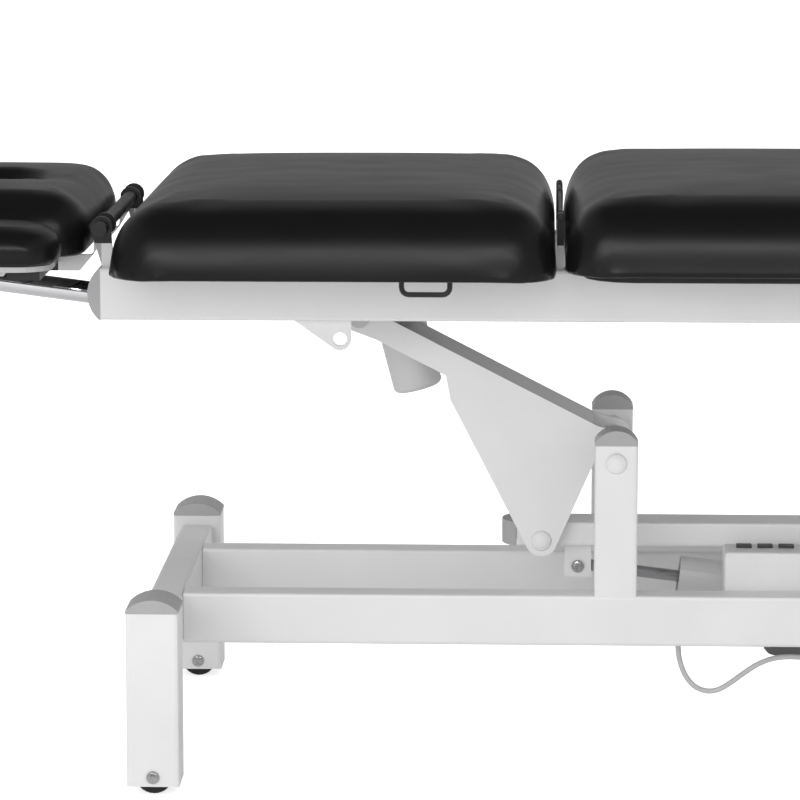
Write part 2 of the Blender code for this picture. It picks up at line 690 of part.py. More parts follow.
def make_tie():
    start = LEVER_X - TIE_OVERHANG
    stop = LEVER_X + ARM_SPACING + TIE_OVERHANG
    lug_top = TIE_BOTTOM + WELD
    lug_low = BOLT_Z - TIE_LUG_BELOW
    outline = [(TIE_LUG_X - LUG_HALF, lug_top), (TIE_LUG_X - LUG_HALF, lug_low),
               (TIE_LUG_X + LUG_HALF, lug_low), (TIE_LUG_X + LUG_HALF, lug_top)]
    hole = circle(TIE_LUG_X, BOLT_Z, BOLT_RADIUS + PIN_GAP, 14)
    lugs = plate_pair("lug", (outline, hole), EYE_HALF + GAP, LUG_PLATE)
    tube = ("X", ((start + stop) / 2, 0, TIE_Z), stop - start, TIE_WIDTH, TIE_HEIGHT)
    beam = welded_frame("tie_beam", [tube], lugs)
    reach = ARM_HALF_WIDTH + ARM_PLATE
    for end, x in zip(("head", "foot"), (LEVER_X, LEVER_X + ARM_SPACING)):
        hole = rod("tie_hole", (x, -reach, LEVER_Z), (x, reach, LEVER_Z), LEVER_PIN_RADIUS + PIN_GAP, 16)
        boolean(beam, hole, "DIFFERENCE")
        pin = headed_pin(f"{end}_lever_pin", x, -ARM_HALF_WIDTH - GAP, ARM_HALF_WIDTH + GAP, LEVER_Z,
                         LEVER_PIN_RADIUS, PIVOT_CAP_RADIUS, PIVOT_CAP_RISE, True)
        finish(pin, "tie", WHITE, 0.4)
    finish(beam, "tie", WHITE)
    for end, x, side in (("head", start - GAP, 1), ("foot", stop + GAP, -1)):
        outline = turned(dome(TIE_WIDTH / 2, TIE_CAP_RISE), side * pi / 2)
        cap = extruded(f"tie_cap_{end}", (moved(outline, x, 0),), TIE_HEIGHT, "Z", (0, 0, TIE_Z))
        finish(cap, "tie", CAP_GREY, 0.5)
    reach = EYE_HALF + LUG_PLATE + 2 * GAP
    bolt = headed_pin("tie_bolt", TIE_LUG_X, -reach, reach, BOLT_Z, BOLT_RADIUS, BOLT_HEAD_RADIUS, BOLT_HEAD)
    finish(bolt, "tie", STEEL, 0.3, 0.9)


def eyed_bar(name, x, y, z, angle, bar_radius, bar_end, eye_radius, hole_radius, eye_half):
    """A round bar with a flat eye: from the eye at (x, z) it runs at an angle in the XZ plane."""
    direction = Vector((cos(angle), 0, sin(angle)))
    start = Vector((x, y, z)) + direction * (eye_radius - EYE_SINK)
    bar = rod(name, start, Vector((x, y, z)) + direction * bar_end, bar_radius)
    eye = extruded(f"{name}_eye", (circle(x, z, eye_radius), circle(x, z, hole_radius, 16)),
                   2 * eye_half, "Y", (0, y, 0))
    return boolean(bar, eye, "UNION")


def make_lift_drive():
    angle = -LIFT_ANGLE
    rod_piece = eyed_bar("lift_rod", TIE_LUG_X, 0, BOLT_Z, angle, LIFT_ROD_RADIUS, LIFT_ROD_LENGTH,
                         EYE_RADIUS, BOLT_RADIUS + PIN_GAP, EYE_HALF)
    finish(rod_piece, "lift_rod", STEEL, 0.25, 0.9)

    back = pi - LIFT_ANGLE
    direction = Vector((cos(back), 0, sin(back)))
    rear = Vector((CLEVIS_X, 0, CLEVIS_Z))
    turn = Matrix.Rotation(back, 4, Vector((0, -1, 0)))
    barrel = extruded("lift_tube", (circle(0, 0, LIFT_TUBE_RADIUS, 24), circle(0, 0, LIFT_TUBE_BORE, 24)),
                      LIFT_TUBE_LENGTH, "X", (LIFT_TUBE_BACK + LIFT_TUBE_LENGTH / 2, 0, 0))
    barrel.data.transform(Matrix.Translation(rear) @ turn)
    plug_start = rear + direction * (LIFT_TUBE_BACK + WELD)
    plug = rod("lift_plug", plug_start, plug_start + direction * TUBE_PLUG,
               (LIFT_TUBE_RADIUS + LIFT_TUBE_BORE) / 2, 24)
    neck = rod("lift_neck", rear + direction * (EYE_RADIUS - EYE_SINK), plug_start + direction * NECK_SINK,
               EYE_HALF - WELD)
    outline = circle(CLEVIS_X, CLEVIS_Z, EYE_RADIUS)
    hole = circle(CLEVIS_X, CLEVIS_Z, BOLT_RADIUS + PIN_GAP, 14)
    eye = extruded("lift_eye", (outline, hole), 2 * EYE_HALF, "Y", (0, 0, 0))
    for tool in (plug, neck, eye):
        boolean(barrel, tool, "UNION")
    finish(barrel, "lift_tube", MID_GREY, 0.4, 0.3)

    low = LIFT_TUBE_RADIUS + GAP
    deep = low + LIFT_MOTOR_DEPTH
    first, last = LIFT_MOTOR_START, LIFT_MOTOR_START + LIFT_MOTOR_LENGTH
    outline = [(first, low), (last, low), (last, deep - 0.018), (last - 0.012, deep), (first + 0.014, deep),
               (first, deep - 0.016)]
    motor = extruded("lift_motor", (outline,), 2 * LIFT_MOTOR_HALF, "Y", (0, 0, 0))
    motor.data.transform(Matrix.Translation(rear) @ turn)
    soften = motor.modifiers.new("round", "BEVEL")
    soften.width = 0.006
    soften.segments = 2
    finish(motor, "lift_tube", DARK, 0.5)


def make_controls():
    near = -RAIL_Y + BEAM_WIDTH / 2 + GAP
    middle = (BOX_X + BOX_LENGTH / 2, near + BOX_DEPTH / 2, (BOX_BOTTOM + BOX_TOP) / 2)
    bm = bmesh.new()
    bmesh.ops.create_cube(bm, size=1.0)
    bmesh.ops.scale(bm, vec=(BOX_LENGTH, BOX_DEPTH, BOX_TOP - BOX_BOTTOM), verts=bm.verts)
    bm.transform(Matrix.Translation(middle))
    housing = mesh_object("control_box", bm)
    soften = housing.modifiers.new("round", "BEVEL")
    soften.width = 0.004
    soften.segments = 2
    for i in range(3):
        plug = rounded(PLUG_WIDTH / 2, PLUG_DEPTH / 2, PLUG_CORNER, steps=2)
        place = (BOX_X + PLUG_START + i * PLUG_PITCH, middle[1] + PLUG_BACK, BOX_TOP)
        boolean(housing, extruded("plug", (plug,), 2 * PLUG_RISE, "Z", place), "UNION")
    side_z, under_x = CABLE_POINTS[0][1], CABLE_POINTS[-1][0]
    sleeves = (((BOX_X + WELD, CABLE_Y, side_z), (BOX_X - GLAND_LENGTH, CABLE_Y, side_z)),
               ((under_x, CABLE_Y, BOX_BOTTOM + WELD), (under_x, CABLE_Y, BOX_BOTTOM - GLAND_LENGTH)))
    for root, tip in sleeves:
        boolean(housing, rod("gland", root, tip, GLAND_RADIUS, 16, GLAND_TIP_RADIUS), "UNION")
    finish(housing, "base", WHITE, 0.5)

    curve = bpy.data.curves.new("motor_cable", "CURVE")
    curve.dimensions = "3D"
    curve.bevel_depth = CABLE_RADIUS
    curve.bevel_resolution = 2
    curve.use_fill_caps = True
    route = smooth_route([Vector((px, CABLE_Y, pz)) for px, pz in CABLE_POINTS])
    spline = curve.splines.new("POLY")
    spline.points.add(len(route) - 1)
    for point, place in zip(spline.points, route):
        point.co = (*place, 1)
    cable = bpy.data.objects.new("motor_cable", curve)
    parts.objects.link(cable)
    finish(as_mesh(cable), "base", (0.62, 0.62, 0.62), 0.5)


def smooth_route(points, steps=2):
    """Points read from a smooth curve through the chosen ones."""
    route = []
    padded = [points[0], *points, points[-1]]
    for i in range(1, len(padded) - 2):
        a, b, c, d = padded[i - 1:i + 3]
        for step in range(steps):
            t = step / steps
            route.append(0.5 * (2 * b + (c - a) * t + (2 * a - 5 * b + 4 * c - d) * t * t
                                + (3 * b - a - 3 * c + d) * t ** 3))
    route.append(points[-1])
    return route


# Top frame

def make_top_frame():
    height = FRAME_TOP - FRAME_BOTTOM
    frame_z = (FRAME_TOP + FRAME_BOTTOM) / 2
    cross_z = FRAME_TOP - CROSS_HEIGHT / 2
    under = cross_z - CROSS_HEIGHT / 2 + WELD
    inner = FRAME_HALF - FRAME_TUBE
    places = {"head_cross": (FRAME_HEAD_X + CROSS_WIDTH / 2, strut_ears(under)),
              "head_pivot_cross": (HANGER_X, [hanger(HANGER_X, under), *drive_ears(under)]),
              "foot_pivot_cross": (HANGER_X + ARM_SPACING, [hanger(HANGER_X + ARM_SPACING, under)]),
              "foot_cross": (FRAME_FOOT_X - CROSS_WIDTH / 2, [])}
    for name, (x, solids) in places.items():
        tube = ("Y", (x, 0, cross_z), 2 * (inner - GAP), CROSS_WIDTH, CROSS_HEIGHT)
        finish(welded_frame(name, [tube], solids), "top_frame", WHITE)

    for name, side in (("near", -1), ("far", 1)):
        y = side * (FRAME_HALF - FRAME_TUBE / 2)
        middle = ((FRAME_HEAD_X + FRAME_FOOT_X) / 2, y, frame_z)
        tube = ("X", middle, FRAME_FOOT_X - FRAME_HEAD_X, FRAME_TUBE, height)
        solids = rail_lugs(y, side)
        for x, turn in ((FRAME_HEAD_X + WELD, pi / 2), (FRAME_FOOT_X - WELD, -pi / 2)):
            outline = moved(turned(dome(height / 2 - WELD_STEP, FRAME_CAP_RISE), turn), x, frame_z)
            solids.append(extruded("cap", (outline,), FRAME_TUBE - 2 * WELD_STEP, "Y", (0, y, 0)))
        if side < 0:
            solids.append(accessory_lug(y))
        rail = welded_frame(f"top_rail_{name}", [tube], solids)
        for x, _ in places.values():
            start = (x, side * (inner - WELD), cross_z)
            boolean(rail, rod("weld_hole", start, (x, y, cross_z), CROSS_WIDTH / 4, 12), "DIFFERENCE")
        finish(rail, "top_frame", WHITE)

    for end, x in zip(("head", "foot"), (HANGER_X, HANGER_X + ARM_SPACING)):
        pin = headed_pin(f"{end}_hanger_pin", x, -ARM_HALF_WIDTH - GAP, ARM_HALF_WIDTH + GAP, HANGER_Z,
                         PIVOT_RADIUS, PIVOT_CAP_RADIUS, AXLE_HEAD / 2)
        finish(pin, "top_frame", STEEL, 0.3, 0.9)
    bar = rod("headrest_bar", (FRAME_HEAD_X, -HEAD_BAR_HALF, HEAD_HINGE_Z),
              (FRAME_HEAD_X, HEAD_BAR_HALF, HEAD_HINGE_Z), HEAD_BAR_RADIUS)
    finish(bar, "top_frame", BLACK, 0.4)
    hinge = rod("backrest_hinge_rod", (HINGE_X, -FRAME_HALF, HINGE_Z), (HINGE_X, FRAME_HALF, HINGE_Z),
                HINGE_ROD_RADIUS, 12)
    finish(hinge, "top_frame", STEEL, 0.3, 0.9)


def hanger(x, top):
    """Block under a cross tube that a lift arm turns on."""
    half = ARM_BOSS - 0.002
    outline = [(x - half, top), *arc(x, HANGER_Z, half, pi, 2 * pi, 10), (x + half, top)]
    return extruded("hanger", (outline, circle(x, HANGER_Z, PIVOT_RADIUS + PIN_GAP)),
                    2 * (ARM_HALF_WIDTH - ARM_PLATE - GAP), "Y", (0, 0, 0))


def drive_ears(top):
    """Ears and pin that carry the backrest drive."""
    outline = [(DRIVE_PIVOT_X - CRANK_BOSS, top),
               *arc(DRIVE_PIVOT_X, DRIVE_PIVOT_Z, CRANK_BOSS, pi, 2 * pi, 8),
               (DRIVE_PIVOT_X + CRANK_BOSS, top)]
    ears = plate_pair("ear", (outline,), DRIVE_EYE_HALF + GAP, LUG_PLATE, DRIVE_Y)
    reach = DRIVE_EYE_HALF + LUG_PLATE + BOLT_HEAD / 2
    pin = rod("drive_pin", (DRIVE_PIVOT_X, DRIVE_Y - reach, DRIVE_PIVOT_Z),
              (DRIVE_PIVOT_X, DRIVE_Y + reach, DRIVE_PIVOT_Z), CRANK_PIN_RADIUS, 14)
    return [*ears, pin]


def strut_ears(top):
    """Ears and pin at the head end that carry the headrest strut."""
    outline = [(FRAME_HEAD_X + 0.030, top), (FRAME_HEAD_X + 0.006, top),
               (STRUT_X - STRUT_EYE_RADIUS, STRUT_Z + 0.004),
               *arc(STRUT_X, STRUT_Z, STRUT_EYE_RADIUS, pi, 2 * pi - pi / 6, 8)]
    ears = plate_pair("ear", (outline,), STRUT_EYE_HALF + GAP, LUG_PLATE)
    reach = STRUT_EYE_HALF + LUG_PLATE + BOLT_HEAD / 2
    pin = rod("strut_base_pin", (STRUT_X, -reach, STRUT_Z), (STRUT_X, reach, STRUT_Z), STRUT_ROD_RADIUS, 14)
    return [*ears, pin]


def rail_lugs(y, side):
    """Headrest lug and backrest hinge post on a rail."""
    low = FRAME_TOP - WELD
    boss = arc(FRAME_HEAD_X, HEAD_HINGE_Z, HEAD_LUG_BOSS, -pi / 6, pi, 10)
    outline = [(FRAME_HEAD_X + HEAD_LUG_FOOT, low), *boss, (FRAME_HEAD_X + WELD, low)]
    hole = circle(FRAME_HEAD_X, HEAD_HINGE_Z, HEAD_BAR_RADIUS + PIN_GAP)
    half = HINGE_EAR_WIDTH / 2
    post = [(HINGE_X - half, low), (HINGE_X + half, low), *arc(HINGE_X, HINGE_Z, half, 0, pi, 8)]
    eye = circle(HINGE_X, HINGE_Z, HINGE_ROD_RADIUS + PIN_GAP, 12)
    return [extruded("lug", (outline, hole), EAR_PLATE, "Y", (0, y, 0)),
            extruded("post", (post, eye), EAR_PLATE * 3, "Y", (0, side * HINGE_LUG_Y, 0))]


def accessory_lug(y):
    top = FRAME_BOTTOM + WELD
    tip_x, tip_z = ACCESSORY_X + ACCESSORY_LENGTH, FRAME_BOTTOM - ACCESSORY_DROP
    end = arc(tip_x, tip_z, ACCESSORY_BOSS, pi * 1.34, pi * 2, 8)
    outline = [(ACCESSORY_X, top), *end, (tip_x + ACCESSORY_BOSS, top)]
    return extruded("lug", (outline, circle(tip_x, tip_z, ACCESSORY_HOLE, 14)), EAR_PLATE, "Y", (0, y, 0))


# Backrest and leg sections

def board(name, x0, x1, half_y, bottom, thickness, corner, around=0.0):
    """A section's board, or with some room around it the recess that it lies in."""
    half_x = (x1 - x0) / 2 - BOARD_INSET + around
    outline = rounded(half_x, half_y - BOARD_INSET + around, corner + around, (x0 + x1) / 2, 0, 4)
    height = thickness + 2 * around
    return extruded(name, (outline,), height, "Z", (0, 0, bottom - around + height / 2))


def padded_section(name, body_name, x0, x1, half_y, board_bottom, board_thickness, bottom, top,
                   corner, edge, crown, slope=0.0):
    """A board with its cushion, which wraps down around the board's edge."""
    place = (x0, x1, half_y, board_bottom, board_thickness, corner)
    wood = board(f"{name}_board", *place)
    soft = cushion(f"{name}_cushion", x0, x1, -half_y, half_y, bottom, top, corner, edge, crown, slope)
    boolean(soft, board("recess", *place, GAP), "DIFFERENCE")
    finish(wood, body_name, BLACK, 0.6)
    finish(soft, body_name, BLACK, 0.4)
    return wood, soft


def make_sections():
    shape = (CUSHION_CORNER, CUSHION_EDGE, CUSHION_CROWN)
    padded_section("backrest", "backrest", BACK_END_X - BACK_LENGTH, BACK_END_X, CUSHION_HALF,
                   BOARD_BOTTOM, BOARD, BOARD_BOTTOM, CUSHION_TOP, *shape, BACK_SLOPE)
    padded_section("leg", "top_frame", LEG_START_X, LEG_END_X, CUSHION_HALF, BOARD_BOTTOM, BOARD + LEG_RISE,
                   BOARD_BOTTOM + LEG_RISE, CUSHION_TOP + LEG_RISE, *shape)

    half = HINGE_EAR_WIDTH / 2
    under = BOARD_BOTTOM - GAP
    arm_top = under - WELD_STEP
    arm_low = under - EAR_DEPTH
    hole = circle(HINGE_X, HINGE_Z, HINGE_ROD_RADIUS + PIN_GAP, 12)
    head = arc(HINGE_X, HINGE_Z, half, 0, pi, 8)
    ear = [(HINGE_X + half, arm_low), *head, (HINGE_X - half, arm_top), (HINGE_X - EAR_REACH, arm_top),
           (HINGE_X - EAR_REACH, arm_low)]
    pieces = [extruded("ear", (ear, hole), EAR_PLATE, "Y", (0, side * HINGE_EAR_Y, 0)) for side in (-1, 1)]
    crank = [*arc(HINGE_X, CRANK_Z, CRANK_BOSS, pi, 2 * pi, 8), (HINGE_X + half, CRANK_Z + CRANK_BOSS), *head,
             (HINGE_X - half, arm_top), (HINGE_X - EAR_REACH, arm_top), (HINGE_X - EAR_REACH, arm_low),
             (HINGE_X - CRANK_BOSS, arm_low)]
    pieces += plate_pair("crank", (crank, hole), DRIVE_EYE_HALF + GAP, LUG_PLATE, DRIVE_Y)
    strip = [(HINGE_X - EAR_REACH + 0.002, under - STRIP), (HINGE_X - EAR_REACH + 0.032, under - STRIP),
             (HINGE_X - EAR_REACH + 0.032, under), (HINGE_X - EAR_REACH + 0.002, under)]
    cross = extruded("strip", (strip,), 2 * HINGE_EAR_Y - EAR_PLATE / 2, "Y", (0, 0, 0))
    reach = DRIVE_EYE_HALF + LUG_PLATE + BOLT_HEAD / 2
    pin = rod("crank_pin", (HINGE_X, DRIVE_Y - reach, CRANK_Z), (HINGE_X, DRIVE_Y + reach, CRANK_Z),
              CRANK_PIN_RADIUS, 14)
    finish(joined("backrest_bracket", [cross, *pieces, pin]), "backrest", WHITE)

    top = BOARD_BOTTOM - GAP
    for name, side in (("near", -1), ("far", 1)):
        curve = bpy.data.curves.new("loop", "CURVE")
        curve.dimensions = "3D"
        curve.bevel_depth = LOOP_WIRE
        curve.bevel_resolution = 2
        curve.use_fill_caps = True
        low = top - LOOP_DROP
        left, right = LOOP_X - LOOP_WIDTH / 2, LOOP_X + LOOP_WIDTH / 2
        path = [(left, top), *arc(left + LOOP_BEND, low + LOOP_BEND, LOOP_BEND, pi, 1.5 * pi, 4),
                *arc(right - LOOP_BEND, low + LOOP_BEND, LOOP_BEND, 1.5 * pi, 2 * pi, 4), (right, top)]
        spline = curve.splines.new("POLY")
        spline.points.add(len(path) - 1)
        for point, (x, z) in zip(spline.points, path):
            point.co = (x, side * LOOP_Y, z, 1)
        wire = bpy.data.objects.new(f"strap_loop_{name}", curve)
        parts.objects.link(wire)
        finish(as_mesh(wire), "backrest", BLACK, 0.4)


def make_backrest_drive():
    direction = Vector((cos(DRIVE_ANGLE), 0, sin(DRIVE_ANGLE)))
    rear = Vector((DRIVE_PIVOT_X, DRIVE_Y, DRIVE_PIVOT_Z))
    turn = Matrix.Translation(rear) @ Matrix.Rotation(DRIVE_ANGLE, 4, Vector((0, -1, 0)))
    bm = bmesh.new()
    bmesh.ops.create_cube(bm, size=1.0)
    bmesh.ops.scale(bm, vec=(GEAR_LENGTH, 2 * GEAR_HALF_WIDTH, 2 * GEAR_HALF_HEIGHT), verts=bm.verts)
    bm.transform(turn @ Matrix.Translation((GEAR_START + GEAR_LENGTH / 2, 0, 0)))
    gear = mesh_object("drive_gearbox", bm)
    eye = extruded("drive_eye", (circle(DRIVE_PIVOT_X, DRIVE_PIVOT_Z, CRANK_BOSS),
                                 circle(DRIVE_PIVOT_X, DRIVE_PIVOT_Z, CRANK_PIN_RADIUS + PIN_GAP, 14)),
                   2 * DRIVE_EYE_HALF, "Y", (0, DRIVE_Y, 0))
    neck = rod("drive_neck", rear + direction * (CRANK_BOSS - EYE_SINK),
               rear + direction * (GEAR_START + NECK_SINK), DRIVE_EYE_HALF)
    wall = (circle(0, 0, DRIVE_TUBE_RADIUS, 24), circle(0, 0, DRIVE_TUBE_BORE, 24))
    sleeve = extruded("drive_sleeve", wall, DRIVE_TUBE_LENGTH, "X",
                      (GEAR_START + GEAR_LENGTH - WELD + DRIVE_TUBE_LENGTH / 2, 0, 0))
    sleeve.data.transform(turn)
    finish(joined("drive_gearbox", [gear, neck, eye, sleeve]), "drive", DARK, 0.5)

    down = Vector((sin(DRIVE_ANGLE), 0, -cos(DRIVE_ANGLE)))
    top = rear + direction * (GEAR_START + GEAR_LENGTH / 2) + down * (GEAR_HALF_HEIGHT + GAP)
    motor = rod("drive_motor", top, top + down * MOTOR_LENGTH, MOTOR_RADIUS, 24)
    soften = motor.modifiers.new("round", "BEVEL")
    soften.width = 0.004
    soften.segments = 2
    soften.limit_method = "ANGLE"
    finish(motor, "drive", WHITE, 0.4)

    piston = eyed_bar("drive_rod", HINGE_X, DRIVE_Y, CRANK_Z, pi + DRIVE_ANGLE,
                      DRIVE_ROD_RADIUS, DRIVE_ROD_LENGTH, CRANK_BOSS, CRANK_PIN_RADIUS + PIN_GAP,
                      DRIVE_EYE_HALF)
    finish(piston, "drive_rod", STEEL, 0.25, 0.9)


# Headrest and armrests

def make_headrest():
    face_x = FRAME_HEAD_X - FACE_FROM_HINGE
    hole = rounded(FACE_LENGTH / 2, FACE_WIDTH / 2, FACE_WIDTH / 2 - FACE_FLAT, face_x, 0, 6)
    padding = padded_section("headrest", "headrest", HEAD_LEFT_X, HEAD_END_X, HEAD_HALF,
                             HEAD_BOARD_BOTTOM, BOARD, HEAD_BOARD_BOTTOM, HEAD_TOP,
                             HEAD_CORNER, HEAD_EDGE, CUSHION_CROWN / 2)
    for layer in padding:
        boolean(layer, extruded("face_cut", (hole,), 0.5, "Z", (0, 0, HEAD_TOP)), "DIFFERENCE")

    bar_top = HEAD_BOARD_BOTTOM - GAP
    bar_low = bar_top - ARMREST_BAR
    left = ARMREST_AXIS_X + KNUCKLE_RADIUS + GAP
    right = left + ARMREST_BAR_WIDTH
    outline = [(left, bar_low), (right, bar_low), (right, bar_top), (left, bar_top)]
    bar = extruded("armrest_bar", (outline,), 2 * (ARMREST_OUTER - ARMREST_BAR_INSET), "Y", (0, 0, 0))
    low = bar_low - HEAD_EAR_DEPTH
    ear = [*arc(FRAME_HEAD_X, HEAD_HINGE_Z, HEAD_LUG_BOSS, -pi / 2, pi * 0.86, 10),
           (HEAD_END_X + HEAD_EAR_GAP, bar_top - WELD), (right - WELD, bar_top - WELD),
           (right - WELD, bar_low + WELD), (left + WELD, bar_low + WELD), (left + WELD, low),
           (FRAME_HEAD_X - HEAD_EAR_SLOPE, low)]
    hole = circle(FRAME_HEAD_X, HEAD_HINGE_Z, HEAD_BAR_RADIUS + PIN_GAP)
    ears = [extruded("ear", (ear, hole), EAR_PLATE, "Y", (0, side * HEAD_EAR_Y, 0)) for side in (-1, 1)]
    finish(joined("headrest_bracket", [bar, *ears]), "headrest", DARK, 0.5)

    top = HEAD_BOARD_BOTTOM - GAP
    tip = [(STRUT_TIP_X - STRUT_EAR_HALF, top - WELD),
           *arc(STRUT_TIP_X, STRUT_TIP_Z, STRUT_EYE_RADIUS, pi, 2 * pi, 8),
           (STRUT_TIP_X + STRUT_EAR_HALF, top - WELD)]
    cheeks = plate_pair("cheek", (tip,), STRUT_EYE_HALF + GAP, LUG_PLATE)
    half = STRUT_EYE_HALF + LUG_PLATE + 0.004
    pad = [(STRUT_TIP_X - STRUT_PAD_HALF, top - STRIP), (STRUT_TIP_X + STRUT_PAD_HALF, top - STRIP),
           (STRUT_TIP_X + STRUT_PAD_HALF, top), (STRUT_TIP_X - STRUT_PAD_HALF, top)]
    flange = extruded("strut_bracket", (pad,), 2 * half, "Y", (0, 0, 0))
    reach = STRUT_EYE_HALF + LUG_PLATE + BOLT_HEAD / 2
    pin = rod("strut_tip_pin", (STRUT_TIP_X, -reach, STRUT_TIP_Z), (STRUT_TIP_X, reach, STRUT_TIP_Z),
              STRUT_ROD_RADIUS, 14)
    finish(joined("strut_bracket", [flange, *cheeks, pin]), "headrest", WHITE)


def make_strut():
    angle = pi - STRUT_ANGLE
    base = Vector((STRUT_X, 0, STRUT_Z))
    direction = Vector((cos(angle), 0, sin(angle)))
    turn = Matrix.Translation(base) @ Matrix.Rotation(angle, 4, Vector((0, -1, 0)))
    start = STRUT_EYE_RADIUS + STRUT_NECK
    sleeve = extruded("strut_cylinder", (circle(0, 0, STRUT_RADIUS, 24), circle(0, 0, STRUT_BORE, 24)),
                      STRUT_LENGTH, "X", (start + STRUT_LENGTH / 2, 0, 0))
    sleeve.data.transform(turn)
    plug = rod("strut_plug", base + direction * (start + GAP), base + direction * (start + TUBE_PLUG),
               (STRUT_RADIUS + STRUT_BORE) / 2, 24)
    eye = extruded("strut_eye", (circle(STRUT_X, STRUT_Z, STRUT_EYE_RADIUS),
                                 circle(STRUT_X, STRUT_Z, STRUT_ROD_RADIUS + PIN_GAP, 14)),
                   2 * STRUT_EYE_HALF, "Y", (0, 0, 0))
    neck = rod("strut_neck", base + direction * (STRUT_EYE_RADIUS - EYE_SINK),
               base + direction * (start + NECK_SINK), STRUT_EYE_HALF)
    for tool in (plug, neck, eye):
        boolean(sleeve, tool, "UNION")
    finish(sleeve, "strut", CHROME, 0.08, 1.0)
    piston = eyed_bar("strut_rod", STRUT_TIP_X, 0, STRUT_TIP_Z, -STRUT_ANGLE,
                      STRUT_ROD_RADIUS, STRUT_ROD_LENGTH, STRUT_EYE_RADIUS, STRUT_ROD_RADIUS + PIN_GAP,
                      STRUT_EYE_HALF)
    finish(piston, "strut_rod", STEEL, 0.2, 1.0)


def make_armrests():
    x0 = ARMREST_RIGHT_X - ARMREST_LENGTH
    for name, side in (("near", -1), ("far", 1)):
        y0, y1 = sorted((side * ARMREST_INNER, side * ARMREST_OUTER))
        soft = cushion(f"armrest_pad_{name}", x0, ARMREST_RIGHT_X, y0, y1, ARMREST_PAD_BOTTOM, ARMREST_TOP,
                       ARMREST_CORNER, ARMREST_EDGE, CUSHION_CROWN / 3)
        finish(soft, f"armrest_{name}", BLACK, 0.4)
        middle = ((x0 + ARMREST_RIGHT_X) / 2, (y0 + y1) / 2)
        outline = rounded(ARMREST_LENGTH / 2 - PLATE_INSET, (y1 - y0) / 2 - PLATE_INSET,
                          ARMREST_CORNER - PLATE_INSET, *middle, 5)
        plate = extruded(f"armrest_plate_{name}", (outline,), ARMREST_PLATE, "Z",
                         (0, 0, ARMREST_PLATE_BOTTOM + ARMREST_PLATE / 2))
        knuckle = rod(f"knuckle_{name}", (ARMREST_AXIS_X, y0 + KNUCKLE_LEFT, ARMREST_AXIS_Z),
                      (ARMREST_AXIS_X, y1 - KNUCKLE_RIGHT, ARMREST_AXIS_Z), KNUCKLE_RADIUS, 14)
        boolean(plate, knuckle, "UNION")
        finish(plate, f"armrest_{name}", MID_GREY, 0.4)


make_bodies()
make_base()
make_base_fittings()
for arm_end, arm_x in zip(("head", "foot"), PIVOT_XS):
    make_arm(arm_end, arm_x)
make_tie()
make_lift_drive()
make_controls()
make_top_frame()
make_sections()
make_backrest_drive()
make_headrest()
make_strut()
make_armrests()
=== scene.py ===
"""Looks for the electric massage table: camera, light, cable, materials, upholstery and small fittings."""
from math import cos, pi, radians, sin

import bmesh
import bpy
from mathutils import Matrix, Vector


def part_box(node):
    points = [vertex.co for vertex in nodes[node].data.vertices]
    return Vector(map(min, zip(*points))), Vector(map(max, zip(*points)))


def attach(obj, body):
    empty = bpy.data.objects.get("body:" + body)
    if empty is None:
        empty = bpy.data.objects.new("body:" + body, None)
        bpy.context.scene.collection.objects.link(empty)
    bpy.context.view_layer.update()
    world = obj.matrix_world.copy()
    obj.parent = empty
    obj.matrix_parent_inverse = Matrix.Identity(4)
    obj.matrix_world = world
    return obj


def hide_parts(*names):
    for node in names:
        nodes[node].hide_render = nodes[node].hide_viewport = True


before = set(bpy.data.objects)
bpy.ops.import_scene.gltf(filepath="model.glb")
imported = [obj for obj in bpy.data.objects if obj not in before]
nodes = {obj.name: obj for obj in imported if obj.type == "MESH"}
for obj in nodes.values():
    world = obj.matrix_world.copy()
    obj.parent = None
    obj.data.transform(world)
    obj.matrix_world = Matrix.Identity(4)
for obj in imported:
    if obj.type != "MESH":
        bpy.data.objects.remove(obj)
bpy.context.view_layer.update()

# Camera, from the photograph's perspective
PHOTO_SIZE = 800
FOCAL_PIXELS = 3878
SENSOR = 36.0
CAMERA_PLACE = (-0.0262, -4.6, 1.1563)
CAMERA_PITCH = 9.252
CAMERA_YAW = 2.073

# Light levels
AMBIENT = 0.95
FRONT_POWER = 38.0
STRIP_POWER = 48.0
BACK_GLOW = 0.36
CEILING_GLOW = 0.015
FLOOR_GLOW = 0.72
FLOOR_WHITE = (0.86, 0.86, 0.86)
FLOOR_REACH = 40
BACKDROP_SLOPE = 2.4
FRONT_PLACE = (-1.6, -4.0, 1.2)
FRONT_TARGET = (0, 0, 0.35)
FRONT_SIZE = (3.0, 1.8)
STRIP_PLACE = (-0.3, -3.2, 1.7)
STRIP_TARGET = (0, -0.3, 0.6)
STRIP_SIZE = (3.4, 0.3)

# Cable, as in the part's source
CABLE_RADIUS = 0.0032
CABLE_Y = -0.084
CABLE_POINTS = (
    (0.1735, 0.178), (0.1685, 0.178), (0.158, 0.1759), (0.1491, 0.1699), (0.1431, 0.161), (0.141, 0.1505),
    (0.141, 0.1385), (0.1413, 0.126), (0.1428, 0.112), (0.1468, 0.0978), (0.1535, 0.0852), (0.1636, 0.0754),
    (0.1772, 0.071), (0.1912, 0.0735), (0.2052, 0.0822), (0.220, 0.0933), (0.2355, 0.1037), (0.2525, 0.1108),
    (0.270, 0.1134), (0.288, 0.113), (0.3035, 0.1112), (0.317, 0.1099), (0.330, 0.1099), (0.3405, 0.112),
    (0.3494, 0.118), (0.3554, 0.1269), (0.3575, 0.1374),
)

# Levels where a solid's colour changes
POST_CAP_Z = 0.378
KNUCKLE_Z = 0.617
BRACKET_BLACK_X = -0.585
# The control box is dark above its plug rise: dark plugs, whose dark is also painted shade in the gap under
# the tie beam
PLUG_RISE = 0.0035
PLUG_SEAM = 0.0002

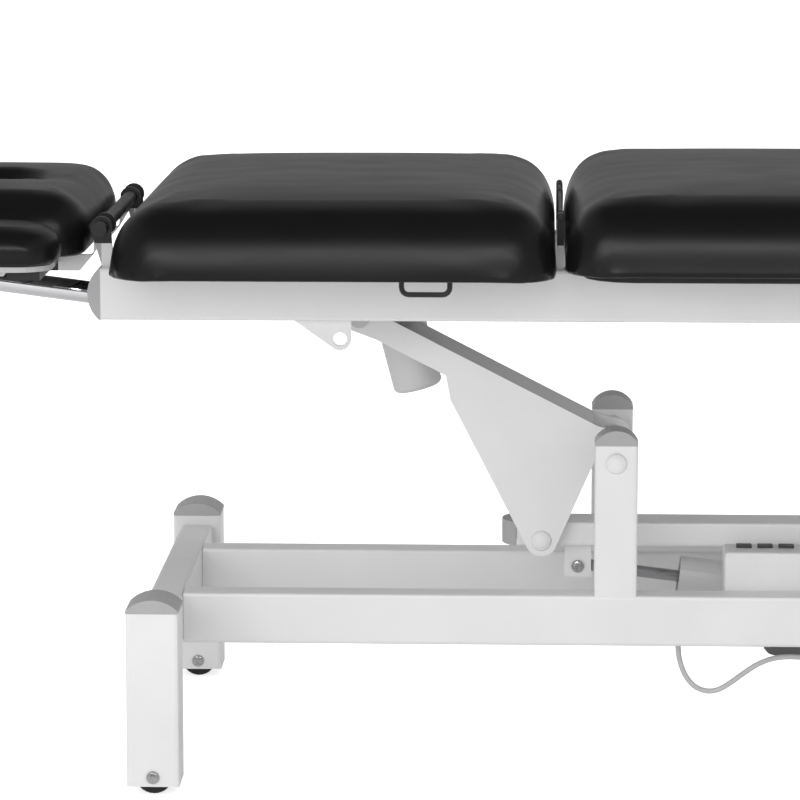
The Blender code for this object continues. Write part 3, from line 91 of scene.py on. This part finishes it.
# Round fittings, as in the part's source
DRIVE_PIVOT = (-0.255, 0.085, 0.5085)
DRIVE_CRANK = (-0.002, 0.085, 0.575)
MOTOR_ALONG = 0.054
MOTOR_DOWN = 0.018
MOTOR_LENGTH = 0.100
MOTOR_RADIUS = 0.030
MOTOR_SEAM = 0.014
MOTOR_SEAM_WIDTH = 0.002
MOTOR_SEAM_DEPTH = 0.0008
MOTOR_ROLL = 0.007
MOTOR_ROLL_STEPS = 8
STRUT_BASE = (-0.546, 0.0, 0.533)
STRUT_TIP = (-0.885, 0.0, 0.5764)
STRUT_START = 0.017
STRUT_LENGTH = 0.183
STRUT_RADIUS = 0.013
SLEEVE_WALL = 0.0003
SLEEVE_LIP = 0.0008
BOLT_SHANK = 0.0045
BOLT_HEAD = 0.003

# Cushion making
VOXEL = 0.006
SIM_FRAMES = 20
SWELL_LIMIT = 0.005
PRESSURE = 4.0
START_INSET = 0.003
HELD_RIM = 0.004
BED_INSET = 0.018
SMOOTHING = 24
TOP_SMOOTHING = 160
TOP_FLATNESS = 0.97

# Colours, linear
PAINT = (0.80, 0.80, 0.80)
CAP_GREY = (0.41, 0.41, 0.415)
LEATHER = (0.007, 0.007, 0.0073)
DARK = (0.045, 0.045, 0.048)
BLACK = (0.008, 0.008, 0.008)
RUBBER = (0.03, 0.03, 0.03)
DARK_STEEL = (0.34, 0.34, 0.35)
HOUSING = (0.13, 0.13, 0.135)
MOTOR_GREY = (0.64, 0.64, 0.64)
TUBE_GREY = (0.62, 0.62, 0.62)
ARMREST_GREY = (0.48, 0.48, 0.48)
STEEL = (0.50, 0.50, 0.51)
CHROME = (0.78, 0.78, 0.80)
BOX_PLASTIC = (0.74, 0.74, 0.74)
CABLE_GREY = (0.58, 0.58, 0.58)


# Camera, floor and light

def make_camera():
    data = bpy.data.cameras.new("photo_camera")
    data.sensor_width = SENSOR
    data.lens = SENSOR * FOCAL_PIXELS / PHOTO_SIZE
    data.clip_end = 100
    camera = bpy.data.objects.new("photo_camera", data)
    camera.location = CAMERA_PLACE
    camera.rotation_euler = (radians(90 - CAMERA_PITCH), 0, radians(CAMERA_YAW))
    bpy.context.scene.collection.objects.link(camera)
    bpy.context.scene.camera = camera


def area_light(name, place, target, size, power, in_gloss=True, in_matt=True):
    data = bpy.data.lights.new(name, "AREA")
    data.shape = "RECTANGLE"
    data.size, data.size_y = size
    data.energy = power
    lamp = bpy.data.objects.new(name, data)
    lamp.location = place
    lamp.rotation_euler = (Vector(target) - Vector(place)).to_track_quat("-Z", "Y").to_euler()
    lamp.visible_glossy = in_gloss
    lamp.visible_diffuse = in_matt
    bpy.context.scene.collection.objects.link(lamp)


def make_light():
    """A broad low front light for the matt surfaces, a strip above it for the sheen of the cushions,
    and a white backdrop behind and beside the table that they mirror under a dark ceiling."""
    area_light("front_softbox", FRONT_PLACE, FRONT_TARGET, FRONT_SIZE, FRONT_POWER, in_gloss=False)
    area_light("sheen_strip", STRIP_PLACE, STRIP_TARGET, STRIP_SIZE, STRIP_POWER, in_matt=False)
    world = bpy.data.worlds.new("studio")
    world.use_nodes = True
    bpy.context.scene.world = world
    tree = world.node_tree
    surface = tree.nodes["Background"]
    path = tree.nodes.new("ShaderNodeLightPath")
    seen = math(tree, "MAXIMUM", path.outputs["Is Camera Ray"], path.outputs["Is Transmission Ray"])
    split = tree.nodes.new("ShaderNodeSeparateXYZ")
    tree.links.new(tree.nodes.new("ShaderNodeTexCoord").outputs["Generated"], split.inputs[0])
    around = math(tree, "MAXIMUM", split.outputs["Y"], math(tree, "ABSOLUTE", split.outputs["X"], 0))
    low = math(tree, "SUBTRACT", math(tree, "MULTIPLY", around, BACKDROP_SLOPE), split.outputs["Z"])
    mirrored = blend_values(tree, clamped(tree, low), CEILING_GLOW, BACK_GLOW)
    level = blend_values(tree, path.outputs["Is Glossy Ray"], AMBIENT, mirrored)
    tree.links.new(blend_values(tree, seen, level, 1.0), surface.inputs["Strength"])
    surface.inputs["Color"].default_value = (1, 1, 1, 1)


def make_floor():
    bm = bmesh.new()
    bmesh.ops.create_grid(bm, x_segments=1, y_segments=1, size=FLOOR_REACH)
    mesh = bpy.data.meshes.new("floor")
    bm.to_mesh(mesh)
    bm.free()
    floor = bpy.data.objects.new("floor", mesh)
    bpy.context.scene.collection.objects.link(floor)
    look, tree, shader = material("floor_white", FLOOR_WHITE, 0.8)
    path = tree.nodes.new("ShaderNodeLightPath")
    glow = math(tree, "MULTIPLY", path.outputs["Is Camera Ray"], FLOOR_GLOW)
    tree.links.new(glow, shader.inputs["Emission Strength"])
    shader.inputs["Emission Color"].default_value = (1, 1, 1, 1)
    mesh.materials.append(look)


# Node tools

def material(name, colour, roughness, metallic=0.0):
    look = bpy.data.materials.new(name)
    look.use_nodes = True
    shader = look.node_tree.nodes["Principled BSDF"]
    shader.inputs["Base Color"].default_value = (*colour, 1)
    shader.inputs["Roughness"].default_value = roughness
    shader.inputs["Metallic"].default_value = metallic
    return look, look.node_tree, shader


def math(tree, operation, first, second):
    node = tree.nodes.new("ShaderNodeMath")
    node.operation = operation
    for socket, value in zip(node.inputs, (first, second)):
        if isinstance(value, (int, float)):
            socket.default_value = value
        else:
            tree.links.new(value, socket)
    return node.outputs[0]


def clamped(tree, value):
    node = tree.nodes.new("ShaderNodeClamp")
    tree.links.new(value, node.inputs["Value"])
    return node.outputs["Result"]


def blend_values(tree, factor, first, second):
    node = tree.nodes.new("ShaderNodeMix")
    tree.links.new(factor, node.inputs["Factor"])
    for name, value in (("A", first), ("B", second)):
        if isinstance(value, float):
            node.inputs[name].default_value = value
        else:
            tree.links.new(value, node.inputs[name])
    return node.outputs["Result"]


def place(tree):
    """Where a point of the surface is, in metres, in the table's own frame."""
    return tree.nodes.new("ShaderNodeTexCoord").outputs["Object"]


def noise(tree, scale, detail=3.0, stretch=(1, 1, 1)):
    spot = place(tree)
    if stretch != (1, 1, 1):
        mapping = tree.nodes.new("ShaderNodeMapping")
        mapping.inputs["Scale"].default_value = stretch
        tree.links.new(spot, mapping.inputs["Vector"])
        spot = mapping.outputs["Vector"]
    node = tree.nodes.new("ShaderNodeTexNoise")
    node.inputs["Scale"].default_value = scale
    node.inputs["Detail"].default_value = detail
    tree.links.new(spot, node.inputs["Vector"])
    return node.outputs["Fac"]


def spread(tree, value, low, high):
    """Map a 0 to 1 value to a range."""
    node = tree.nodes.new("ShaderNodeMapRange")
    node.inputs["From Min"].default_value = 0.3
    node.inputs["From Max"].default_value = 0.7
    node.inputs["To Min"].default_value = low
    node.inputs["To Max"].default_value = high
    tree.links.new(value, node.inputs["Value"])
    return node.outputs["Result"]


def blend_colours(tree, factor, first, second):
    node = tree.nodes.new("ShaderNodeMix")
    node.data_type = "RGBA"
    tree.links.new(factor, node.inputs["Factor"])
    for name, value in (("A", first), ("B", second)):
        socket = [s for s in node.inputs if s.name == name and s.type == "RGBA"][0]
        if isinstance(value, tuple):
            socket.default_value = (*value, 1)
        else:
            tree.links.new(value, socket)
    return [s for s in node.outputs if s.type == "RGBA"][0]


def bump(tree, shader, height, strength, distance, below=None):
    node = tree.nodes.new("ShaderNodeBump")
    node.inputs["Strength"].default_value = strength
    node.inputs["Distance"].default_value = distance
    tree.links.new(height, node.inputs["Height"])
    if below:
        tree.links.new(below, node.inputs["Normal"])
    tree.links.new(node.outputs["Normal"], shader.inputs["Normal"])
    return node.outputs["Normal"]


def shaded(colour, factor):
    return tuple(min(c * factor, 1.0) for c in colour)


# Materials

def paint(name, colour=PAINT, grey_where=None, black_where=None):
    """Powder coat: faint orange peel and mottling; the masks pick out moulded caps and black knuckles."""
    look, tree, shader = material(name, colour, 0.34)
    mottle = noise(tree, 9, 4)
    tone = blend_colours(tree, spread(tree, mottle, 0, 1), shaded(colour, 0.97), shaded(colour, 1.02))
    if grey_where:
        grain = noise(tree, 900, 2)
        grey = blend_colours(tree, grain, shaded(CAP_GREY, 0.92), shaded(CAP_GREY, 1.06))
        tone = blend_colours(tree, grey_where(tree), tone, grey)
    if black_where:
        tone = blend_colours(tree, black_where(tree), tone, BLACK)
    tree.links.new(tone, shader.inputs["Base Color"])
    tree.links.new(spread(tree, noise(tree, 40, 3), 0.30, 0.40), shader.inputs["Roughness"])
    bump(tree, shader, noise(tree, 520, 2), 0.05, 0.0004)
    return look


def moulded(name, colour, roughness=0.5, grain=1100, dark_where=None):
    """Moulded plastic or rubber: fine spark grain, slight tone change; dark_where masks dark inserts. On the
    control box these are dark plugs, and their dark also paints the shade under the tie beam.
    """
    look, tree, shader = material(name, colour, roughness)
    tone = blend_colours(tree, noise(tree, 14, 4), shaded(colour, 0.9), shaded(colour, 1.1))
    if dark_where:
        tone = blend_colours(tree, dark_where(tree), tone, DARK)
    tree.links.new(tone, shader.inputs["Base Color"])
    gloss = spread(tree, noise(tree, 60, 3), roughness - 0.06, roughness + 0.06)
    tree.links.new(gloss, shader.inputs["Roughness"])
    bump(tree, shader, noise(tree, grain, 3), 0.12, 0.0003)
    return look


def metal(name, colour, roughness, stretch=(1, 1, 1)):
    """Turned, drawn or plated metal with faint marks along its working."""
    look, tree, shader = material(name, colour, roughness, 1.0)
    marks = noise(tree, 260, 4, stretch)
    tone = blend_colours(tree, marks, shaded(colour, 0.9), shaded(colour, 1.08))
    tree.links.new(tone, shader.inputs["Base Color"])
    tree.links.new(spread(tree, marks, roughness * 0.8, roughness * 1.3), shader.inputs["Roughness"])
    bump(tree, shader, marks, 0.04, 0.0002)
    return look


def leatherette(name):
    """Black upholstery vinyl: pebbled grain, faint unevenness along the table, broad sheen."""
    look, tree, shader = material(name, LEATHER, 0.32)
    shader.inputs["Specular IOR Level"].default_value = 0.22
    pebble = tree.nodes.new("ShaderNodeTexVoronoi")
    pebble.inputs["Scale"].default_value = 620
    tree.links.new(place(tree), pebble.inputs["Vector"])
    mottle = spread(tree, noise(tree, 7, 4), 0, 1)
    tone = blend_colours(tree, mottle, shaded(LEATHER, 0.9), shaded(LEATHER, 1.12))
    tree.links.new(tone, shader.inputs["Base Color"])
    tree.links.new(spread(tree, noise(tree, 22, 3, (0.5, 1, 1)), 0.29, 0.34), shader.inputs["Roughness"])
    grain = bump(tree, shader, pebble.outputs["Distance"], 0.08, 0.0004)
    bump(tree, shader, noise(tree, 9, 2, (0.5, 1, 1)), 0.015, 0.002, grain)
    return look


def above_z(level):
    def mask(tree):
        split = tree.nodes.new("ShaderNodeSeparateXYZ")
        tree.links.new(place(tree), split.inputs[0])
        return math(tree, "GREATER_THAN", split.outputs["Z"], level)
    return mask


def knuckles(before_x=None):
    """Black parts: above the knuckle level, and where before_x is given, headwards of it."""
    def mask(tree):
        split = tree.nodes.new("ShaderNodeSeparateXYZ")
        tree.links.new(place(tree), split.inputs[0])
        high = math(tree, "GREATER_THAN", split.outputs["Z"], KNUCKLE_Z)
        if before_x is None:
            return high
        return math(tree, "MAXIMUM", high, math(tree, "LESS_THAN", split.outputs["X"], before_x))
    return mask


def outside_x(low, high):
    def mask(tree):
        split = tree.nodes.new("ShaderNodeSeparateXYZ")
        tree.links.new(place(tree), split.inputs[0])
        before = math(tree, "LESS_THAN", split.outputs["X"], low)
        return math(tree, "MAXIMUM", before, math(tree, "GREATER_THAN", split.outputs["X"], high))
    return mask


def dress(look, *names):
    for name in names:
        nodes[name].data.materials.clear()
        nodes[name].data.materials.append(look)


def dress_nodes():
    white = paint("white_powder_coat")
    dress(white, "head_end_frame", "foot_end_frame", "mid_cross", "lift_arm_head_frame",
          "lift_arm_foot_frame", "tie_beam", "head_cross", "head_pivot_cross", "foot_pivot_cross",
          "foot_cross", "strut_bracket", "head_pivot_axle", "foot_pivot_axle", "head_lever_pin",
          "foot_lever_pin")
    dress(paint("white_with_post_caps", PAINT, above_z(POST_CAP_Z)), "base_rail_near", "base_rail_far")
    first = sum(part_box("headrest_bar")[i][0] for i in (0, 1)) / 2
    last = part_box("foot_cross")[1][0]
    dress(paint("white_with_rail_caps", PAINT, outside_x(first, last), knuckles()),
          "top_rail_near", "top_rail_far")
    dress(paint("white_with_knuckles", PAINT, None, knuckles()), "backrest_bracket")
    dress(paint("headrest_coat", PAINT, None, knuckles(BRACKET_BLACK_X)), "headrest_bracket")
    dress(moulded("cap_plastic", CAP_GREY), "head_leg_cap_near", "head_leg_cap_far", "foot_leg_cap_near",
          "foot_leg_cap_far", "tie_cap_head", "tie_cap_foot")
    # The control box's dark plugs also paint the shade in the gap under the tie beam
    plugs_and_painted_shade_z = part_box("control_box")[1][2] - PLUG_RISE + PLUG_SEAM
    dress(moulded("box_plastic", BOX_PLASTIC, dark_where=above_z(plugs_and_painted_shade_z)), "control_box")
    dress(moulded("dark_plastic", DARK, 0.45), "drive_gearbox")
    dress(moulded("housing_plastic", HOUSING, 0.5), "lift_motor")
    dress(moulded("rubber", RUBBER, 0.75, 700), "rubber_foot_near", "rubber_foot_far", "wheel_near",
          "wheel_far")
    dress(moulded("board_black", BLACK, 0.6), "leg_board", "backrest_board", "headrest_board")
    dress(moulded("black_coat", BLACK, 0.4, 600), "headrest_bar", "strap_loop_near", "strap_loop_far",
          "backrest_hinge_rod")
    dress(paint("armrest_grey", ARMREST_GREY), "armrest_plate_near", "armrest_plate_far")
    dress(metal("zinc_steel", STEEL, 0.3, (1, 6, 1)), "head_hanger_pin", "foot_hanger_pin")
    dress(metal("dark_steel", DARK_STEEL, 0.3, (0.05, 1, 1)), "lift_rod")
    dress(metal("drawn_steel", STEEL, 0.25, (0.05, 1, 1)), "drive_rod", "strut_rod")
    dress(paint("tube_grey", TUBE_GREY), "lift_tube")
    dress(metal("chrome_tube", CHROME, 0.07, (0.05, 1, 1)), "strut_cylinder")


# Cable

def smooth_route(points, steps):
    """Points read from a smooth curve through the chosen ones."""
    route = []
    padded = [points[0], *points, points[-1]]
    for i in range(1, len(padded) - 2):
        a, b, c, d = padded[i - 1:i + 3]
        for step in range(steps):
            t = step / steps
            route.append(0.5 * (2 * b + (c - a) * t + (2 * a - 5 * b + 4 * c - d) * t * t
                                + (3 * b - a - 3 * c + d) * t ** 3))
    route.append(points[-1])
    return route


def make_cable():
    route = smooth_route([Vector((x, CABLE_Y, z)) for x, z in CABLE_POINTS], 4)
    curve = bpy.data.curves.new("cable", "CURVE")
    curve.dimensions = "3D"
    curve.bevel_depth = CABLE_RADIUS
    curve.bevel_resolution = 4
    curve.use_fill_caps = True
    spline = curve.splines.new("POLY")
    spline.points.add(len(route) - 1)
    for point, spot in zip(spline.points, route):
        point.co = (*spot, 1)
    spline.use_smooth = True
    cable = bpy.data.objects.new("cable", curve)
    bpy.context.scene.collection.objects.link(cable)
    curve.materials.append(moulded("cable_sheath", CABLE_GREY, 0.4, 500))
    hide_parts("motor_cable")
    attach(cable, "base")


# Round fittings

def lathe(bm, start, direction, profile, sides=64):
    """Rings about an axis, from (along, radius) pairs; the first and last ring are closed by a face."""
    direction = Vector(direction).normalized()
    across = direction.orthogonal().normalized()
    beside = direction.cross(across)
    rings = []
    for along, radius in profile:
        centre = Vector(start) + direction * along
        ring = []
        for i in range(sides):
            turn = 2 * pi * i / sides
            ring.append(bm.verts.new(centre + (across * cos(turn) + beside * sin(turn)) * radius))
        rings.append(ring)
    for low, high in zip(rings, rings[1:]):
        for i in range(sides):
            j = (i + 1) % sides
            bm.faces.new((low[i], low[j], high[j], high[i]))
    bm.faces.new(list(reversed(rings[0])))
    bm.faces.new(rings[-1])


def fitting(name, bm, look, body, node=None, sharp=35):
    bmesh.ops.recalc_face_normals(bm, faces=bm.faces)
    mesh = bpy.data.meshes.new(name)
    bm.to_mesh(mesh)
    bm.free()
    mesh.materials.append(look)
    mesh.shade_smooth()
    mesh.set_sharp_from_angle(angle=radians(sharp))
    piece = bpy.data.objects.new(name, mesh)
    bpy.context.scene.collection.objects.link(piece)
    if node:
        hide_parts(node)
    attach(piece, body)


def make_motor():
    """Smooth can of the backrest motor, with a seam near its top and a rolled bottom edge."""
    along = (Vector(DRIVE_CRANK) - Vector(DRIVE_PIVOT)).normalized()
    down = Vector((along.z, 0, -along.x))
    top = Vector(DRIVE_PIVOT) + along * MOTOR_ALONG + down * MOTOR_DOWN
    r = MOTOR_RADIUS
    end = MOTOR_LENGTH
    seam = MOTOR_SEAM
    after = seam + MOTOR_SEAM_WIDTH
    groove = r - MOTOR_SEAM_DEPTH
    profile = [(0, r - 0.001), (0.001, r), (seam, r), (seam + 0.0003, groove)]
    profile += [(after - 0.0003, groove), (after, r)]
    for step in range(MOTOR_ROLL_STEPS + 1):
        turn = step / MOTOR_ROLL_STEPS * pi / 2
        profile.append((end - MOTOR_ROLL + MOTOR_ROLL * sin(turn), r - MOTOR_ROLL + MOTOR_ROLL * cos(turn)))
    profile += [(end, r * 0.5), (end - 0.001, r * 0.46), (end - 0.001, 0.004)]
    bm = bmesh.new()
    lathe(bm, top, down, profile)
    grey = moulded("motor_can", MOTOR_GREY, 0.4)
    fitting("drive_motor_can", bm, grey, "drive", "drive_motor")


def make_strut_sleeve():
    """Chromed sleeve over the strut's tube, with a rolled lip at its mouth."""
    along = Vector(STRUT_TIP) - Vector(STRUT_BASE)
    r = STRUT_RADIUS + SLEEVE_WALL
    start, stop = STRUT_START + 0.0005, STRUT_START + STRUT_LENGTH
    profile = [(start, r - 0.0002), (start + 0.0006, r), (stop - 0.006, r), (stop - 0.005, r + SLEEVE_LIP),
               (stop - 0.001, r + SLEEVE_LIP), (stop, r - 0.0002)]
    bm = bmesh.new()
    lathe(bm, STRUT_BASE, along, profile)
    bmesh.ops.delete(bm, geom=[f for f in bm.faces if len(f.verts) > 4], context="FACES_ONLY")
    fitting("strut_sleeve", bm, metal("chrome_plate", CHROME, 0.06, (0.05, 1, 1)), "strut")


def make_bolts():
    """Washer, hexagon and thread end on both ends of the axle bolts and the tie's bolt."""
    zinc = metal("bolt_zinc", STEEL, 0.28, (1, 6, 1))
    for node, body in (("wheel_axle_near", "base"), ("wheel_axle_far", "base"), ("tie_bolt", "tie")):
        low, high = (Vector(corner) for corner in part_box(node))
        size = (high.z - low.z) / 2
        centre = (low + high) / 2
        bm = bmesh.new()
        shank = [(0, BOLT_SHANK), (high.y - low.y - 0.002, BOLT_SHANK)]
        lathe(bm, (centre.x, low.y + 0.001, centre.z), (0, 1, 0), shank, 24)
        for y, way in ((low.y, 1), (high.y, -1)):
            head = (centre.x, y, centre.z)
            washer = [(BOLT_HEAD, size * 0.86), (BOLT_HEAD + 0.001, size * 0.86)]
            hexagon = [(0.0006, size * 0.62), (0.001, size * 0.72), (BOLT_HEAD, size * 0.72)]
            thread = [(0, size * 0.30), (0.0004, size * 0.36), (0.001, size * 0.36)]
            lathe(bm, head, (0, way, 0), washer, 32)
            lathe(bm, head, (0, way, 0), hexagon, 6)
            lathe(bm, head, (0, way, 0), thread, 24)
        fitting(f"{node}_bolt", bm, zinc, body, node)


# Upholstery

def baked(obj):
    """The object's shape with its modifiers, as a new mesh."""
    graph = bpy.context.evaluated_depsgraph_get()
    return bpy.data.meshes.new_from_object(obj.evaluated_get(graph))


def swap_mesh(obj, mesh):
    obj.modifiers.clear()
    old = obj.data
    obj.data = mesh
    bpy.data.meshes.remove(old)


def soft_pad(node, body, look, board=None):
    """A cushion blown up from the solid it stands for, by cloth with inner pressure. It stays inside that
    solid's box, and what lies on its board doesn't move."""
    pad = bpy.data.objects.new(f"{node}_soft", nodes[node].data.copy())
    bpy.context.scene.collection.objects.link(pad)
    low, high = (Vector(corner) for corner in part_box(node))
    bed_z = low.z + HELD_RIM
    if board:
        bed_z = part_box(board)[1][2] + HELD_RIM
    draw_in(pad, low.z)
    remesh = pad.modifiers.new("voxels", "REMESH")
    remesh.mode = "VOXEL"
    remesh.voxel_size = VOXEL
    swap_mesh(pad, baked(pad))
    start = [v.co.copy() for v in pad.data.vertices]
    held = held_points(pad, low, high, bed_z)
    blow_up(pad, held)
    for vert, before in zip(pad.data.vertices, start):
        step = vert.co - before
        if step.length > SWELL_LIMIT:
            vert.co = before + step * (SWELL_LIMIT / step.length)
    even_out(pad, held)
    fill_out(pad, low, high)
    for vert in pad.data.vertices:
        vert.co = [min(max(c, a), b) for c, a, b in zip(vert.co, low, high)]
    pad.data.shade_smooth()
    smooth = pad.modifiers.new("smooth", "SUBSURF")
    smooth.levels = 1
    smooth.render_levels = 1
    pad.data.materials.clear()
    pad.data.materials.append(look)
    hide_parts(node)
    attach(pad, body)


def fill_out(pad, low, high):
    """Bring the pad to the full length, width and height of its solid."""
    spots = [v.co for v in pad.data.vertices]
    first = [min(c[i] for c in spots) for i in range(3)]
    last = [max(c[i] for c in spots) for i in range(3)]
    for vert in pad.data.vertices:
        shares = [(c - first[i]) / (last[i] - first[i]) for i, c in enumerate(vert.co)]
        vert.co = [low[i] + share * (high[i] - low[i]) for i, share in enumerate(shares)]


def even_out(pad, held):
    """Smooth out the small crumples that firm foam doesn't let the cover make, and round off the crown."""
    bm = bmesh.new()
    bm.from_mesh(pad.data)
    bm.verts.ensure_lookup_table()
    kept = set(held)
    loose = [v for v in bm.verts if v.index not in kept]
    for _ in range(SMOOTHING):
        bmesh.ops.smooth_vert(bm, verts=loose, factor=0.5, use_axis_x=True, use_axis_y=True, use_axis_z=True)
    bm.normal_update()
    top = [v for v in loose if v.normal.z > TOP_FLATNESS]
    for _ in range(TOP_SMOOTHING):
        bmesh.ops.smooth_vert(bm, verts=top, factor=0.5, use_axis_z=True)
    bm.to_mesh(pad.data)
    bm.free()


def draw_in(pad, floor_z):
    """Start a little smaller, so that the pad has room to swell."""
    bm = bmesh.new()
    bm.from_mesh(pad.data)
    bmesh.ops.remove_doubles(bm, verts=bm.verts, dist=0.00001)
    bm.normal_update()
    shifts = [v.normal * START_INSET for v in bm.verts]
    for vert, shift in zip(bm.verts, shifts):
        if vert.co.z > floor_z + HELD_RIM / 4:
            vert.co -= shift
    bm.to_mesh(pad.data)
    bm.free()


def held_points(pad, low, high, bed_z):
    """Points at the pad's underside and on its board."""
    held = []
    for vert in pad.data.vertices:
        spot = vert.co
        inside = min(spot.x - low.x, high.x - spot.x, spot.y - low.y, high.y - spot.y) > BED_INSET
        if spot.z < low.z + HELD_RIM or (inside and spot.z < bed_z):
            held.append(vert.index)
    return held


def blow_up(pad, held_at):
    """Run cloth with pressure and keep the last frame's shape."""
    held = pad.vertex_groups.new(name="held")
    held.add(held_at, 1.0, "REPLACE")
    cloth = pad.modifiers.new("cloth", "CLOTH")
    settings = cloth.settings
    settings.quality = 5
    settings.mass = 0.3
    settings.tension_stiffness = 15
    settings.compression_stiffness = 15
    settings.shear_stiffness = 5
    settings.bending_stiffness = 0.5
    settings.vertex_group_mass = "held"
    settings.use_pressure = True
    settings.uniform_pressure_force = PRESSURE
    settings.effector_weights.gravity = 0
    cloth.collision_settings.use_collision = False
    cloth.point_cache.frame_end = SIM_FRAMES
    for step in range(1, SIM_FRAMES + 1):
        bpy.context.scene.frame_set(step)
    swap_mesh(pad, baked(pad))
    bpy.context.scene.frame_set(1)


def make_upholstery():
    black = leatherette("black_leatherette")
    soft_pad("leg_cushion", "top_frame", black, "leg_board")
    soft_pad("backrest_cushion", "backrest", black, "backrest_board")
    soft_pad("headrest_cushion", "headrest", black, "headrest_board")
    soft_pad("armrest_pad_near", "armrest_near", black)
    soft_pad("armrest_pad_far", "armrest_far", black)


bpy.context.scene.view_settings.view_transform = "Standard"
make_camera()
make_light()
make_floor()
make_cable()
dress_nodes()
make_motor()
make_strut_sleeve()
make_bolts()
make_upholstery()
